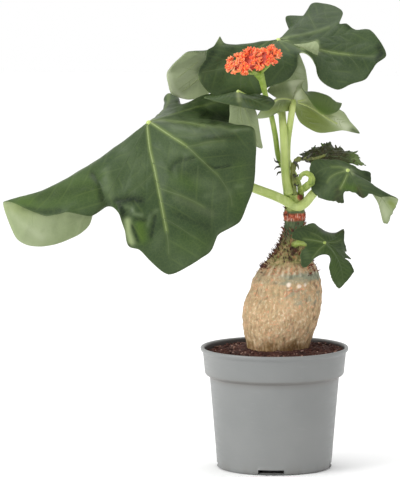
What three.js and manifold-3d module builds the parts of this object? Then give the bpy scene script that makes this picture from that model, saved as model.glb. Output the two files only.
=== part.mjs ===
// A potted buddha belly plant, Jatropha podagrica: a swollen grey-tan caudex in a grey nursery pot,
// lobed leaves on long stalks and a flat-topped head of coral flowers. Millimetres, +Z up.
// The origin is the middle of the pot's base.
import * as THREE from 'three';
import { mergeVertices } from 'three/addons/utils/BufferGeometryUtils.js';
import Module from 'manifold-3d';

const wasm = await Module();
wasm.setup();

// Driving dimensions of the pot
const RIM_RADIUS = 60;
const POT_HEIGHT = 98.5;
const LIP_HEIGHT = 3;
const BAND_FOOT = 76;
const BAND_RADIUS = 55.8;
const BODY_TOP_RADIUS = 52.4;
const FOOT_RADIUS = 46.4;
const FOOT_CORNER = 3;
const WALL = 1.5;
const FLOOR = 1.8;
const DRAIN_COUNT = 4;
const DRAIN_WIDTH = 21;
const DRAIN_LOW = 1.2;
const DRAIN_HIGH = 4.4;
const POT_SIDES = 36;

// Driving dimensions of the soil, which heaps up a little round the plant
const GAP = 0.3;
const SOIL_AT_WALL = 94.6;
const SOIL_AT_PLANT = 98.2;
const SOIL_TILT = 0.02;
const SOIL_LUMP = 0.5;
const SOIL_RINGS = [55.6, 46, 36, 26];
const CRUMB_COUNT = 18;

// The caudex and stem: height, then the middle across, then the radius
const TRUNK_ROWS = [
  [52, 1, 7], [58, 1, 12], [70, 1.5, 18], [84, 2, 22.5], [94, 2.4, 24.6], [101, 3.1, 25.7],
  [108, 3.3, 27.6], [120, 4.8, 30.4], [130, 6, 31.4], [138, 7.6, 30.6], [146, 9.2, 28.8],
  [153, 9.8, 27.2], [161, 11, 23.8], [167, 11.8, 19.6], [173, 12.8, 15.2], [179, 13.8, 11.8],
  [186, 15, 9.6], [194, 15.8, 8.4], [202, 16, 8.1], [206, 16, 8.6], [210, 16, 8.2], [221, 16, 7.8],
];
const TRUNK_TOP = 224;
const TRUNK_SIDES = 28;
const BURIED_TO = 99;
const TRUNK_STEP = 7;
const BURIED_STEP = 12;
const BARK_RIDGE = 0.45;
const BARK_FULL = 115;
const BARK_FADES = 172;
const BARK_ENDS = 190;
const BRISTLE_COUNT = 32;
const BRISTLE_LOW = 158;
const BRISTLE_HIGH = 206;
const BRISTLE_RADIUS = 0.75;
const BRISTLE_ROOT = 1.6;

// The blades and stalks: a blade's sheet is eased by passes that draw each point to its neighbours
const BLADE_THICKNESS = 0.9;
const BLADE_CLEAR = 2.1;
const EASE_PASSES = 8;
const EASE_SHARE = 0.6;
const STALK_SIDES = 7;
const SHOOT_STEPS = 16;
const END_BULGE = 0.12;
const SOCKET_GAP = 0.35;
const HOLE_GAP = 0.45;

// The eye that the plant's points are read from, before the plant and a little above it
const EYE = new THREE.Vector3(-60, -4960, 822);

// A point given as it looks from the eye: across and up in the plane through the pot's axis,
// and how far behind (+) or before (-) that plane it lies
function at(across, up, depth) {
  const inPlane = new THREE.Vector3(across, 0, up);
  const sight = inPlane.clone().sub(EYE);
  return inPlane.addScaledVector(sight, depth / -EYE.y);
}

// Random numbers from a seed
function seeded(seed) {
  let state = seed;
  return () => {
    state = (state * 1664525 + 1013904223) % 4294967296;
    return state / 4294967296;
  };
}

// Leaves. Each blade spreads from where its stalk meets it, along rays in order round it,
// anticlockwise seen from above. A ray is one or two points on the way and its end on the edge,
// and each point is across, up and depth.
const LEAVES = {
  leaf_left: {
    foot: [-102, 281, -20],
    edgeStep: 12,
    rings: 6,
    rays: [
      [[-124, 265.5, -22], [-158, 241.5, -24], [-219, 216.4, -12]],
      [[-150, 241, -32], [-201, 211, -30]],
      [[-146, 236, -40], [-185, 205, -44]],
      [[-138, 238, -44], [-168, 208, -50]],
      [[-130, 243, -46], [-148, 205, -52]],
      [[-118, 247, -44], [-134, 212.8, -44]],
      [[-112, 246, -50], [-124, 221, -53], [-125.5, 208, -56]],
      [[-110, 240, -54], [-118, 210, -56], [-121.3, 194, -58]],
      [[-106, 232, -57], [-113, 203, -58], [-118.5, 180, -57]],
      [[-103, 232, -58], [-109, 177, -56]],
      [[-97, 225, -60], [-86, 158.6, -56]],
      [[-88, 226, -62], [-60, 170, -60]],
      [[-83, 232, -62], [-51, 176, -58]],
      [[-79, 238, -62], [-46, 189, -54]],
      [[-70, 242, -62], [-29, 201, -54]],
      [[-62, 252, -58], [-18, 226, -46]],
      [[-58, 263, -52], [-15.5, 250, -38]],
      [[-58, 273, -42], [-16.5, 275, -30]],
      [[-62, 280.5, -26], [-32, 279.5, -18]],
      [[-66, 282, -16], [-45, 282, -11]],
      [[-69, 284, -8], [-53, 283.5, -4]],
      [[-69, 286, 3], [-53, 283, 6]],
      [[-67, 288, 11], [-35, 280.5, 26]],
      [[-74, 293, 12], [-34, 303, 36]],
      [[-80, 290, 22], [-60, 302, 42]],
      [[-86, 288, 22], [-74.5, 295, 46]],
      [[-89, 291, 26], [-78, 301, 56]],
      [[-91, 291, 26], [-85.5, 304.5, 58]],
      [[-93, 290, 24], [-89, 299.5, 56]],
      [[-97, 284, 14], [-84, 286.5, 44]],
      [[-108, 277.5, 6], [-118, 262, 40]],
      [[-120, 263.5, 4], [-139, 226, 22]],
      [[-132, 247.5, 2], [-151, 197, 12]],
      [[-140, 239.5, 0], [-168, 185, 6]],
      [[-148, 236.5, -4], [-190, 180, 0]],
      [[-150, 241.5, -12], [-208, 186, -6]],
    ],
  },
  leaf_top: {
    foot: [2.7, 348, 14],
    edgeStep: 11,
    rings: 6,
    rays: [
      [[-28, 342, 2], [-62, 322, -6]],
      [[-26, 338, -1], [-59, 312, -7]],
      [[-22, 334, -3], [-50, 303, -5]],
      [[-16, 332, -5], [-30, 303, -6]],
      [[-10, 332, -7], [-13, 303, -7]],
      [[-5, 332, -8], [-6, 309, -8]],
      [[0, 332, -8], [0, 311.5, -8]],
      [[8, 332, -7], [11, 316, -7]],
      [[11, 337, -4], [18, 326, -7]],
      [[14, 343, 3], [24, 341, -2], [30, 328, -11]],
      [[20, 343, 7], [38, 337, 4], [37, 315, -13]],
      [[27, 341.5, 7], [48, 328, 0], [50, 308, -17]],
      [[42, 336, 3], [62, 313, -14]],
      [[43, 337, 4], [73, 316, -12]],
      [[45, 338, 5], [82, 329, -6]],
      [[46, 341, 7], [88.5, 335.6, -2]],
      [[45, 345, 10], [84.5, 346, 6]],
      [[43, 348, 13], [75.5, 355.5, 13]],
      [[40, 350, 15], [64.5, 355.8, 16]],
      [[38, 352, 18], [57, 360.5, 19]],
      [[32, 353, 20], [51.5, 361, 22]],
      [[33, 360, 28], [54, 369, 36]],
      [[28, 364, 34], [47, 376, 50]],
      [[22, 364, 36], [29.5, 377, 56]],
      [[16, 360, 32], [24, 367.5, 48]],
      [[11, 357, 30], [9.5, 366, 46]],
      [[7, 352, 26], [12, 355, 40]],
      [[4, 345, 30], [13, 335, 45], [25, 322, 52]],
      [[4, 345.5, 33], [12, 330, 49], [25, 302, 56]],
      [[1, 345, 34], [4, 329, 51], [8, 304, 60]],
      [[-6, 342, 34], [-10, 330, 56]],
      [[-28, 338, 44], [-56, 303, 56]],
      [[-36, 336, 44], [-70, 299.6, 54]],
      [[-40, 336, 40], [-83, 304, 48]],
      [[-40, 338, 34], [-87, 321, 40]],
      [[-38, 341, 30], [-82, 328, 32]],
      [[-36, 342.5, 24], [-70, 338.5, 24]],
      [[-30, 343, 18], [-60, 338, 15]],
      [[-22, 343.5, 13], [-50, 341, 11]],
      [[-22, 345, 10], [-44.5, 350.5, 6]],
      [[-24, 344.5, 4], [-49, 343, 1]],
      [[-26, 344, 2], [-55, 339, -1]],
      [[-27, 343, 2], [-56, 332, -3]],
    ],
  },
  leaf_right_upper: {
    foot: [15, 298, 5],
    edgeStep: 8,
    rings: 6,
    ease: 2,
    rays: [
      [[4, 295, -9], [-5, 285, -13]],
      [[2, 296, -10], [-14.5, 284.5, -14]],
      [[2, 297, -10], [-11, 291, -17]],
      [[3, 298, -8], [-6, 297.5, -15]],
      [[7, 299.5, -1], [1, 300, -5]],
      [[7, 302, 3], [-6, 307, 4]],
      [[8, 304.5, 6], [-0.5, 312.5, 9]],
      [[13, 306, 10], [15, 315.5, 14]],
      [[18, 307, 12], [24, 315.5, 15]],
      [[16.5, 303.5, 5.5], [19, 307, 5.5], [22, 309, 4]],
      [[24, 304.5, 9], [35, 307, 9], [37, 288, -6]],
      [[26, 303.5, 10], [43, 305, 9], [50, 289.5, -4]],
      [[26.5, 302, 12], [46, 300.5, 11], [54, 296.5, 6]],
      [[24, 298.5, 12], [36, 297, 15], [51, 292, 14]],
      [[33, 293, 15], [56, 289, 16]],
      [[33, 292, 15.5], [61, 281.5, 17]],
      [[32, 291, 16], [52, 283, 16], [68.5, 272, 18]],
      [[33, 286, 14], [55, 274.5, 16]],
      [[28, 284, 12], [36, 272.5, 12]],
      [[22, 287, 9], [21, 278.5, 8]],
      [[17, 292, 6], [15, 285, 3]],
      [[13, 293, 1], [10, 289.5, -3]],
      [[9, 294, -4], [2, 289, -12]],
    ],
  },
  leaf_right_middle: {
    foot: [59.5, 242, -12],
    edgeStep: 7,
    rings: 5,
    rays: [
      [[44, 244, -12], [28, 243, -11]],
      [[44, 237, -15], [30, 226, -13]],
      [[47, 232, -17], [39, 218.5, -18]],
      [[51, 229, -19], [49, 216.5, -20]],
      [[54.5, 229, -17], [55.5, 215.5, -18]],
      [[57, 232, -16], [54.5, 224.5, -14]],
      [[61, 233, -17], [64, 224, -18]],
      [[66, 231, -18], [71.5, 219.5, -20]],
      [[69, 231, -17], [77, 223, -16]],
      [[75, 229, -14], [85, 220.5, -13]],
      [[69, 234.5, -12], [86, 230, -10], [91.5, 221, -9]],
      [[70, 235, -8], [88, 230.5, -5], [99.5, 218, -3]],
      [[70, 234.5, -5], [88, 225, 0], [95, 207, 0]],
      [[70, 234.5, -4], [87, 223, 3], [91.5, 199, 1]],
      [[70, 234.5, -3], [86, 223, 4], [87.5, 200, 3]],
      [[69, 236, -2.5], [83.5, 225, 6], [87, 207, 6]],
      [[67, 237.5, -3], [80.5, 228, 6], [86, 216, 7]],
      [[65, 239.5, -4.5], [74, 232, 3], [80.5, 223, 8]],
      [[65, 240.5, -5], [71, 236.5, 0], [77.5, 232, 4]],
      [[68, 241, -3], [77, 240.5, 2]],
      [[65, 243, -5], [70, 242, -1]],
      [[61, 245, -8], [62, 247, -4]],
      [[55, 247, -8], [52, 250, -3]],
      [[47, 247, -9], [40, 250.5, -5]],
      [[44, 247, -11], [31, 250, -8]],
    ],
  },
  leaf_low: {
    foot: [41, 183, -30],
    edgeStep: 7,
    rings: 5,
    rays: [
      [[30, 186, -32], [14, 187, -34]],
      [[32, 184, -32], [24, 184, -33]],
      [[32, 181, -33], [26, 181, -34]],
      [[31, 179, -34], [21, 175, -36]],
      [[31, 176, -35], [22, 163.5, -38]],
      [[33, 176, -36], [26, 163.5, -38]],
      [[36, 177, -35], [33, 171, -35]],
      [[40, 178, -33], [40, 174.5, -32]],
      [[44, 178, -33], [46, 172.5, -32]],
      [[49, 172, -36], [44, 163, -38]],
      [[51, 168, -37], [47, 152, -40]],
      [[53, 167, -37], [52, 146, -40]],
      [[55, 169, -37], [58, 151.5, -39]],
      [[56, 172, -35], [64, 160, -36]],
      [[52, 175, -33], [60, 168, -32]],
      [[51, 176.5, -31], [57, 170.5, -29]],
      [[50, 178, -30], [62.5, 170, -25]],
      [[50, 179, -29], [57.5, 175, -24]],
      [[50, 180, -27], [58.5, 177, -20]],
      [[49, 183, -25], [56.5, 185, -17]],
      [[49, 186, -23], [56, 194, -12]],
      [[45, 187, -23], [50, 191, -12]],
      [[41, 188, -24], [43, 191.5, -14]],
      [[37, 190, -26], [36, 196, -16]],
      [[33, 191, -27], [31, 199, -18]],
      [[29, 191, -29], [24, 197, -24]],
      [[27, 190, -31], [16, 193, -30]],
    ],
  },
  leaf_middle: {
    foot: [-30, 306, -16],
    edgeStep: 9,
    rings: 5,
    rays: [
      [[-43, 305, -18], [-57, 301, -16]],
      [[-38, 302, -21], [-44, 297, -22]],
      [[-33, 301, -22], [-30, 294, -24]],
      [[-24, 299, -26], [-18, 291.5, -28]],
      [[-18, 298, -27], [-6, 290.5, -30]],
      [[-16, 300, -26], [0, 297, -28]],
      [[-17, 303, -22], [-4, 301, -22]],
      [[-22, 305, -17], [-14, 304, -18]],
      [[-25, 305, -14], [-21, 303, -11]],
      [[-24, 298, -7], [-15, 289, -6]],
      [[-23, 292, -7], [-10, 260, -5]],
      [[-25, 292, -7], [-16, 262, -6]],
      [[-28, 296, -6], [-28, 276, -6]],
      [[-31, 298, -7], [-36.5, 279, -6]],
      [[-33, 303, -8], [-37, 299.5, -6]],
      [[-42, 304.5, -13], [-52, 303, -12]],
    ],
  },
  leaf_shrivelled: {
    foot: [40, 254, 10],
    edgeStep: 5,
    rings: 5,
    crinkle: 0.9,
    rays: [
      [[32, 254, 8], [21, 254, 8]],
      [[33, 251, 8], [26, 250, 6]],
      [[36, 250, 7], [34, 247, 5]],
      [[42, 250, 7], [44, 247, 5]],
      [[50, 250, 8], [54, 247, 6]],
      [[56, 251, 9], [62, 247, 7]],
      [[60, 252, 8], [73, 246, 6]],
      [[58, 255, 11], [68, 251, 12]],
      [[52, 256, 13], [66, 258, 18]],
      [[49, 257, 15], [56, 257, 20]],
      [[47, 259, 16], [53, 261, 24]],
      [[44, 258, 16], [48.5, 259, 24]],
      [[43, 260, 16], [46, 264, 24]],
      [[41, 260, 16], [41, 264.5, 24]],
      [[37, 259, 14], [37, 261.5, 22]],
      [[34, 257, 12], [30, 260, 18]],
    ],
  },
};

// Leaf stalks, from the stem to the blade: points on the way, with the radius at each
const STALKS = {
  stalk_left: {
    leaf: 'leaf_left',
    points: [[11.5, 214.8, -4], [2, 218.8, -5.2], [-17, 227.3, -8], [-50, 241, -8], [-85, 262, -10]],
    radii: [3.3, 3.4, 3.4, 3, 2.7, 2.2],
  },
  stalk_top: {
    leaf: 'leaf_top',
    points: [
      [10.3, 221.6, -2.6], [8.3, 246, -2], [7.3, 270, -1], [5.8, 290, 8], [5, 312, 18], [4, 332, 19],
    ],
    radii: [3.4, 3.3, 3.2, 3, 2.8, 2.5, 2],
  },
  stalk_right_upper: {
    leaf: 'leaf_right_upper',
    points: [[11.3, 220.6, 4.4], [10, 246, 5.5], [9.8, 265, 5.5], [12, 284, 6]],
    radii: [2.4, 2.3, 2.2, 2.1, 2],
  },
  stalk_middle: {
    leaf: 'leaf_middle',
    points: [
      [20.8, 220.6, 3.5], [19.5, 231, 13.5], [13, 245, 18], [8, 260, 18], [8, 273, 17], [6, 286, 15],
      [-6, 296, 4], [-14, 298, -9], [-22, 301.5, -14.5],
    ],
    radii: [2.1, 2.1, 2.1, 2, 2, 2, 1.9, 1.8, 1.7, 1.6],
  },
  stalk_right_middle: {
    leaf: 'leaf_right_middle',
    points: [[20, 212, -3.5], [25, 215.6, -4.5], [31, 223, -5], [41, 232, -5], [52, 239, -6]],
    radii: [3.7, 3.7, 3.5, 3.1, 2.6, 2],
  },
  stalk_low: {
    leaf: 'leaf_low',
    points: [[15, 181, -6], [20, 183, -18], [30, 182, -24]],
    radii: [2.5, 2.4, 2.2, 2],
  },
  stalk_shrivelled: {
    leaf: 'leaf_shrivelled',
    points: [
      [16.2, 220.6, -3.6], [15.4, 232, -3.6], [15, 244, -2.4], [18, 250.5, 0], [25, 251.5, 4],
      [33, 251.5, 7],
    ],
    radii: [2.2, 2.3, 2.2, 1.9, 1.6, 1.4, 1.3],
  },
};

// The young curled shoot and the flower stalk
const SHOOT = {
  points: [
    [21, 220.6, -1.2], [22, 226, -5], [26, 229.5, -14], [30.3, 233.5, -20], [30.3, 238.5, -21],
    [26, 242, -21], [21.6, 239.8, -20], [20.6, 236.2, -19],
  ],
  radii: [2, 2.2, 2.5, 2.4, 2.2, 1.9, 1.4, 0.8],
};
const PEDUNCLE = {
  points: [
    [16, 220.6, 5.6], [13.5, 230, 10.5], [8, 242, 11], [3.5, 251, 9], [0.3, 271, 4], [-2.9, 287, -2],
    [-5.3, 296, -7], [-7.5, 303, -14], [-10.5, 315.5, -26], [-13, 321, -32],
  ],
  radii: [2, 2, 2, 2.1, 2.2, 2.1, 2, 2, 2.3, 3.2],
};

// The flower head: a low tilted cushion that the florets stand out of
const HEAD_MIDDLE = [-17, 331, -44];
const HEAD_HALF = [21, 18, 5.5];
const HEAD_ROLL = -0.27;
const HEAD_PITCH = 0.32;
const FLORET_COUNT = 34;
const FLORET_RADIUS = 4.6;
const FLORET_DEPTH = 5.5;
const FLORET_STAND = 2.6;
const BRANCH_COUNT = 6;

// A node's mesh
function mesh(name, geometry, color, roughness) {
  const node = new THREE.Mesh(geometry, new THREE.MeshStandardMaterial({ color, roughness, metalness: 0 }));
  node.name = name;
  return node;
}

// A closed geometry as a solid for cutting and joining
function solidOf(geometry) {
  const plain = geometry.clone();
  plain.deleteAttribute('normal');
  plain.deleteAttribute('uv');
  const merged = mergeVertices(plain, 1e-4);
  return new wasm.Manifold(new wasm.Mesh({
    numProp: 3,
    vertProperties: new Float32Array(merged.attributes.position.array),
    triVerts: new Uint32Array(merged.index.array),
  }));
}

// A solid back as a geometry, of its largest piece alone
function geometryOf(solid) {
  const pieces = solid.decompose().sort((a, b) => b.volume() - a.volume());
  const result = pieces[0].getMesh();
  const geometry = new THREE.BufferGeometry();
  geometry.setAttribute('position', new THREE.BufferAttribute(new Float32Array(result.vertProperties), 3));
  geometry.setIndex(new THREE.BufferAttribute(new Uint32Array(result.triVerts), 1));
  return geometry;
}

// A geometry from lists of points and of triangles
function geometryFrom(points, triangles) {
  const geometry = new THREE.BufferGeometry();
  const places = points.flatMap((p) => [p.x, p.y, p.z]);
  geometry.setAttribute('position', new THREE.Float32BufferAttribute(places, 3));
  geometry.setIndex(triangles.flat());
  return geometry;
}

// A closed tube along a smooth line through the points, with a radius at each and round ends
function stalkGeometry(points, radii, sides, steps, extra = 0) {
  const line = new THREE.CatmullRomCurve3(points, false, 'centripetal');
  const frames = line.computeFrenetFrames(steps, false);
  const rings = [];
  for (let i = 0; i <= steps; i += 1) {
    const t = i / steps;
    const place = t * (radii.length - 1);
    const low = Math.min(Math.floor(place), radii.length - 2);
    const radius = THREE.MathUtils.lerp(radii[low], radii[low + 1], place - low) + extra;
    const centre = line.getPoint(t);
    centre.addScaledVector(frames.tangents[i], i === 0 ? -extra : i === steps ? extra : 0);
    rings.push({ centre, radius, across: frames.normals[i], up: frames.binormals[i] });
  }
  const vertices = [];
  rings.forEach((ring) => {
    for (let j = 0; j < sides; j += 1) {
      const angle = (j / sides) * 2 * Math.PI;
      vertices.push(ring.centre.clone()
        .addScaledVector(ring.across, Math.cos(angle) * ring.radius)
        .addScaledVector(ring.up, Math.sin(angle) * ring.radius));
    }
  });
  const first = vertices.length;
  [[0, -END_BULGE], [steps, END_BULGE]].forEach(([k, bulge]) => {
    vertices.push(rings[k].centre.clone().addScaledVector(frames.tangents[k], bulge * rings[k].radius));
  });
  const triangles = [];
  for (let j = 0; j < sides; j += 1) {
    const next = (j + 1) % sides;
    for (let i = 0; i < steps; i += 1) {
      const a = i * sides + j;
      const b = i * sides + next;
      triangles.push([a, b, b + sides], [a, b + sides, a + sides]);
    }
    triangles.push([first, next, j], [first + 1, steps * sides + j, steps * sides + next]);
  }
  return geometryFrom(vertices, triangles);
}

// The way a smooth line runs at p1, held short enough that the line makes no loop
function runAt(p0, p1, p2) {
  const run = p2.clone().sub(p0).multiplyScalar(0.5);
  const longest = Math.min(p1.distanceTo(p0), p2.distanceTo(p1));
  return run.length() > longest ? run.setLength(longest) : run;
}

// A smooth line's point between p1 and p2, with the points on either side of them
function smooth(p0, p1, p2, p3, t) {
  const result = p1.clone().multiplyScalar((1 + 2 * t) * (1 - t) * (1 - t));
  result.addScaledVector(p2, t * t * (3 - 2 * t));
  result.addScaledVector(runAt(p0, p1, p2), t * (1 - t) * (1 - t));
  result.addScaledVector(runAt(p1, p2, p3), -t * t * (1 - t));
  return result;
}

// A ray's points at none, a third, two thirds and the whole of its length
function rayPoints(foot, ray) {
  const given = ray.map((p) => at(...p));
  if (given.length === 3) {
    return [foot, ...given];
  }
  const [via, end] = given;
  const along = [1 / 3, 2 / 3].map((s) => foot.clone().multiplyScalar(2 * (s - 0.5) * (s - 1))
    .addScaledVector(via, -4 * s * (s - 1))
    .addScaledVector(end, 2 * s * (s - 0.5)));
  return [foot, ...along, end];
}

// The rows of points of a blade's middle sheet, each from the foot to the edge
function bladeRows(leaf) {
  const foot = at(...leaf.foot);
  const rays = leaf.rays.map((ray) => rayPoints(foot, ray));
  const count = rays.length;
  const rows = [];
  rays.forEach((ray, k) => {
    const around = [rays[(k + count - 1) % count], ray, rays[(k + 1) % count], rays[(k + 2) % count]];
    const steps = Math.max(1, Math.round(ray[3].distanceTo(around[2][3]) / leaf.edgeStep));
    for (let i = 0; i < steps; i += 1) {
      const knots = [0, 1, 2, 3].map((j) => smooth(...around.map((r) => r[j]), i / steps));
      const before = knots[0].clone().multiplyScalar(2).sub(knots[1]);
      const after = knots[3].clone().multiplyScalar(2).sub(knots[2]);
      const line = [before, ...knots, after];
      const row = [];
      for (let m = 0; m <= leaf.rings; m += 1) {
        const place = (m / leaf.rings) * 3;
        const j = Math.min(Math.floor(place), 2);
        row.push(smooth(line[j], line[j + 1], line[j + 2], line[j + 3], place - j));
      }
      rows.push(row);
    }
  });
  return rows;
}

// A blade as a thin closed solid, its middle sheet thickened to both sides with the same triangles
function bladeGeometry(leaf, thickness) {
  const rows = bladeRows(leaf);
  const count = rows.length;
  const rings = leaf.rings;
  const sheet = [rows[0][0].clone()];
  rows.forEach((row) => sheet.push(...row.slice(1)));
  const index = (i, m) => (m === 0 ? 0 : 1 + (i % count) * rings + m - 1);
  const faces = [];
  for (let i = 0; i < count; i += 1) {
    faces.push([0, index(i, 1), index(i + 1, 1)]);
    for (let m = 1; m < rings; m += 1) {
      faces.push([index(i, m), index(i, m + 1), index(i + 1, m + 1)]);
      faces.push([index(i, m), index(i + 1, m + 1), index(i + 1, m)]);
    }
  }
  const easy = leaf.ease ?? EASE_PASSES;
  for (let pass = 0; pass < easy; pass += 1) {
    const before = sheet.map((p) => p.clone());
    for (let i = 0; i < count; i += 1) {
      for (let m = 1; m < rings; m += 1) {
        const around = [index(i, m - 1), index(i, m + 1), index(i + 1, m), index(i + count - 1, m)];
        const middle = new THREE.Vector3();
        around.forEach((v) => middle.addScaledVector(before[v], 1 / around.length));
        sheet[index(i, m)].lerp(middle, EASE_SHARE);
      }
    }
  }
  const normalsOf = () => {
    const normals = sheet.map(() => new THREE.Vector3());
    faces.forEach((face) => {
      const [a, b, c] = face.map((v) => sheet[v]);
      const normal = b.clone().sub(a).cross(c.clone().sub(a));
      face.forEach((v) => normals[v].add(normal));
    });
    return normals.map((normal) => normal.normalize());
  };
  if (leaf.crinkle) {
    const normals = normalsOf();
    for (let i = 0; i < count; i += 1) {
      for (let m = 1; m <= rings; m += 1) {
        const share = m / rings;
        const wave = Math.sin(i * 2.2) * Math.sin(2 + m * 2.1 + i * 0.4);
        sheet[index(i, m)].addScaledVector(normals[index(i, m)], leaf.crinkle * share * wave);
      }
    }
  }
  const normals = normalsOf();
  const upper = sheet.map((p, v) => p.clone().addScaledVector(normals[v], thickness / 2));
  const under = sheet.map((p, v) => p.clone().addScaledVector(normals[v], -thickness / 2));
  const shift = sheet.length;
  const triangles = [...faces];
  faces.forEach(([a, b, c]) => triangles.push([a + shift, c + shift, b + shift]));
  for (let i = 0; i < count; i += 1) {
    const a = index(i, rings);
    const b = index(i + 1, rings);
    triangles.push([a, a + shift, b + shift], [a, b + shift, b]);
  }
  return geometryFrom([...upper, ...under], triangles);
}

// A slow wave over the plane, for lumps
function lumps(x, y) {
  const along = Math.sin(x * 0.31 + 1.3) + Math.sin(y * 0.37 + 0.4);
  const aslant = Math.sin((x + y) * 0.23) + Math.sin((x - y) * 0.53);
  return (along + aslant) / 4;
}

// The pot's inside from the lip down to the middle of the floor: radius and height
const POT_INSIDE = [
  [RIM_RADIUS - 2.6, POT_HEIGHT], [RIM_RADIUS - 3.3, POT_HEIGHT - 0.8],
  [BAND_RADIUS + 1.3 - WALL, BAND_FOOT + 6], [BAND_RADIUS - WALL, BAND_FOOT + 1],
  [BODY_TOP_RADIUS - WALL, BAND_FOOT - 2], [FOOT_RADIUS - WALL, FOOT_CORNER + 1],
  [FOOT_RADIUS - WALL - 2, FLOOR], [0, FLOOR],
];

// The pot: a thin shell turned round its axis, with slots in the foot
function potGeometry() {
  const outer = [
    [0, 0], [FOOT_RADIUS - FOOT_CORNER, 0], [FOOT_RADIUS - 0.9, 0.9], [FOOT_RADIUS, FOOT_CORNER],
    [BODY_TOP_RADIUS, BAND_FOOT - 3], [BAND_RADIUS, BAND_FOOT], [BAND_RADIUS + 1.3, BAND_FOOT + 6],
    [RIM_RADIUS - 1.9, POT_HEIGHT - LIP_HEIGHT - 0.6], [RIM_RADIUS, POT_HEIGHT - LIP_HEIGHT + 0.4],
    [RIM_RADIUS, POT_HEIGHT - 0.7], [RIM_RADIUS - 0.7, POT_HEIGHT],
  ];
  const profile = [...outer, ...POT_INSIDE].map(([r, z]) => new THREE.Vector2(r, z));
  const shell = new THREE.LatheGeometry(profile, POT_SIDES).rotateX(Math.PI / 2);
  let pot = solidOf(shell);
  for (let i = 0; i < DRAIN_COUNT; i += 1) {
    const slot = new THREE.BoxGeometry(DRAIN_WIDTH, 8, DRAIN_HIGH - DRAIN_LOW);
    slot.translate(0, -FOOT_RADIUS, (DRAIN_HIGH + DRAIN_LOW) / 2);
    slot.rotateZ((i / DRAIN_COUNT) * 2 * Math.PI - 0.07);
    pot = pot.subtract(solidOf(slot));
  }
  return geometryOf(pot);
}

// A trunk row's middle and radius at a height
function trunkAt(z) {
  const last = TRUNK_ROWS.length - 1;
  const k = THREE.MathUtils.clamp(TRUNK_ROWS.findIndex((row) => row[0] > z) - 1, 0, last - 1);
  const [a, b] = [TRUNK_ROWS[k], TRUNK_ROWS[k + 1]];
  const t = THREE.MathUtils.clamp((z - a[0]) / (b[0] - a[0]), 0, 1);
  return { middle: THREE.MathUtils.lerp(a[1], b[1], t), radius: THREE.MathUtils.lerp(a[2], b[2], t) };
}

// How far the bark stands out or is furrowed at an angle and height
function bark(angle, z) {
  if (z < BURIED_TO) {
    return 0;
  }
  const { smoothstep } = THREE.MathUtils;
  const swell = smoothstep(z, BURIED_TO, BARK_FULL) * (1 - smoothstep(z, BARK_FADES, BARK_ENDS));
  const furrow = Math.sin(angle * 13 + 1.5 * Math.sin(z * 0.11)) + 0.7 * Math.sin(angle * 7 - z * 0.05);
  return BARK_RIDGE * swell * furrow;
}

// The caudex and stem, wider by extra, before the stalks' sockets are cut
function trunkGeometry(extra) {
  const heights = [];
  const last = TRUNK_ROWS[TRUNK_ROWS.length - 1][0];
  for (let z = TRUNK_ROWS[0][0]; z <= last; z += z < BURIED_TO - 6 ? BURIED_STEP : TRUNK_STEP) {
    heights.push(z);
  }
  heights.push(last + 0.8);
  const vertices = [];
  heights.forEach((z) => {
    const { middle, radius } = trunkAt(z);
    for (let j = 0; j < TRUNK_SIDES; j += 1) {
      const angle = (j / TRUNK_SIDES) * 2 * Math.PI;
      const r = radius + bark(angle, z) + extra;
      vertices.push(new THREE.Vector3(middle + r * Math.cos(angle), r * Math.sin(angle), z));
    }
  });
  const foot = vertices.length;
  vertices.push(new THREE.Vector3(TRUNK_ROWS[0][1], 0, TRUNK_ROWS[0][0] - 4 - extra));
  vertices.push(new THREE.Vector3(16, 0, TRUNK_TOP + extra));
  const triangles = [];
  const top = (heights.length - 1) * TRUNK_SIDES;
  for (let j = 0; j < TRUNK_SIDES; j += 1) {
    const next = (j + 1) % TRUNK_SIDES;
    for (let i = 0; i < heights.length - 1; i += 1) {
      const a = i * TRUNK_SIDES + j;
      const b = i * TRUNK_SIDES + next;
      triangles.push([a, b, b + TRUNK_SIDES], [a, b + TRUNK_SIDES, a + TRUNK_SIDES]);
    }
    triangles.push([foot, next, j], [foot + 1, top + j, top + next]);
  }
  return geometryFrom(vertices, triangles);
}

// One bristle on the trunk, its root sunk in
function bristle(angle, z, length, lift) {
  const { middle, radius } = trunkAt(z);
  const cone = new THREE.ConeGeometry(BRISTLE_RADIUS, length + BRISTLE_ROOT, 3);
  cone.translate(0, (length - BRISTLE_ROOT) / 2, 0);
  const out = new THREE.Vector3(Math.cos(angle), Math.sin(angle), lift).normalize();
  cone.applyQuaternion(new THREE.Quaternion().setFromUnitVectors(new THREE.Vector3(0, 1, 0), out));
  cone.translate(middle + radius * Math.cos(angle), radius * Math.sin(angle), z);
  return solidOf(cone);
}

// The soil's height at a place
function soilTop(x, y) {
  const share = THREE.MathUtils.clamp((Math.hypot(x, y) - 26) / 30, 0, 1);
  return THREE.MathUtils.lerp(SOIL_AT_PLANT, SOIL_AT_WALL, share) + SOIL_TILT * x + SOIL_LUMP * lumps(x, y);
}

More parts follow.
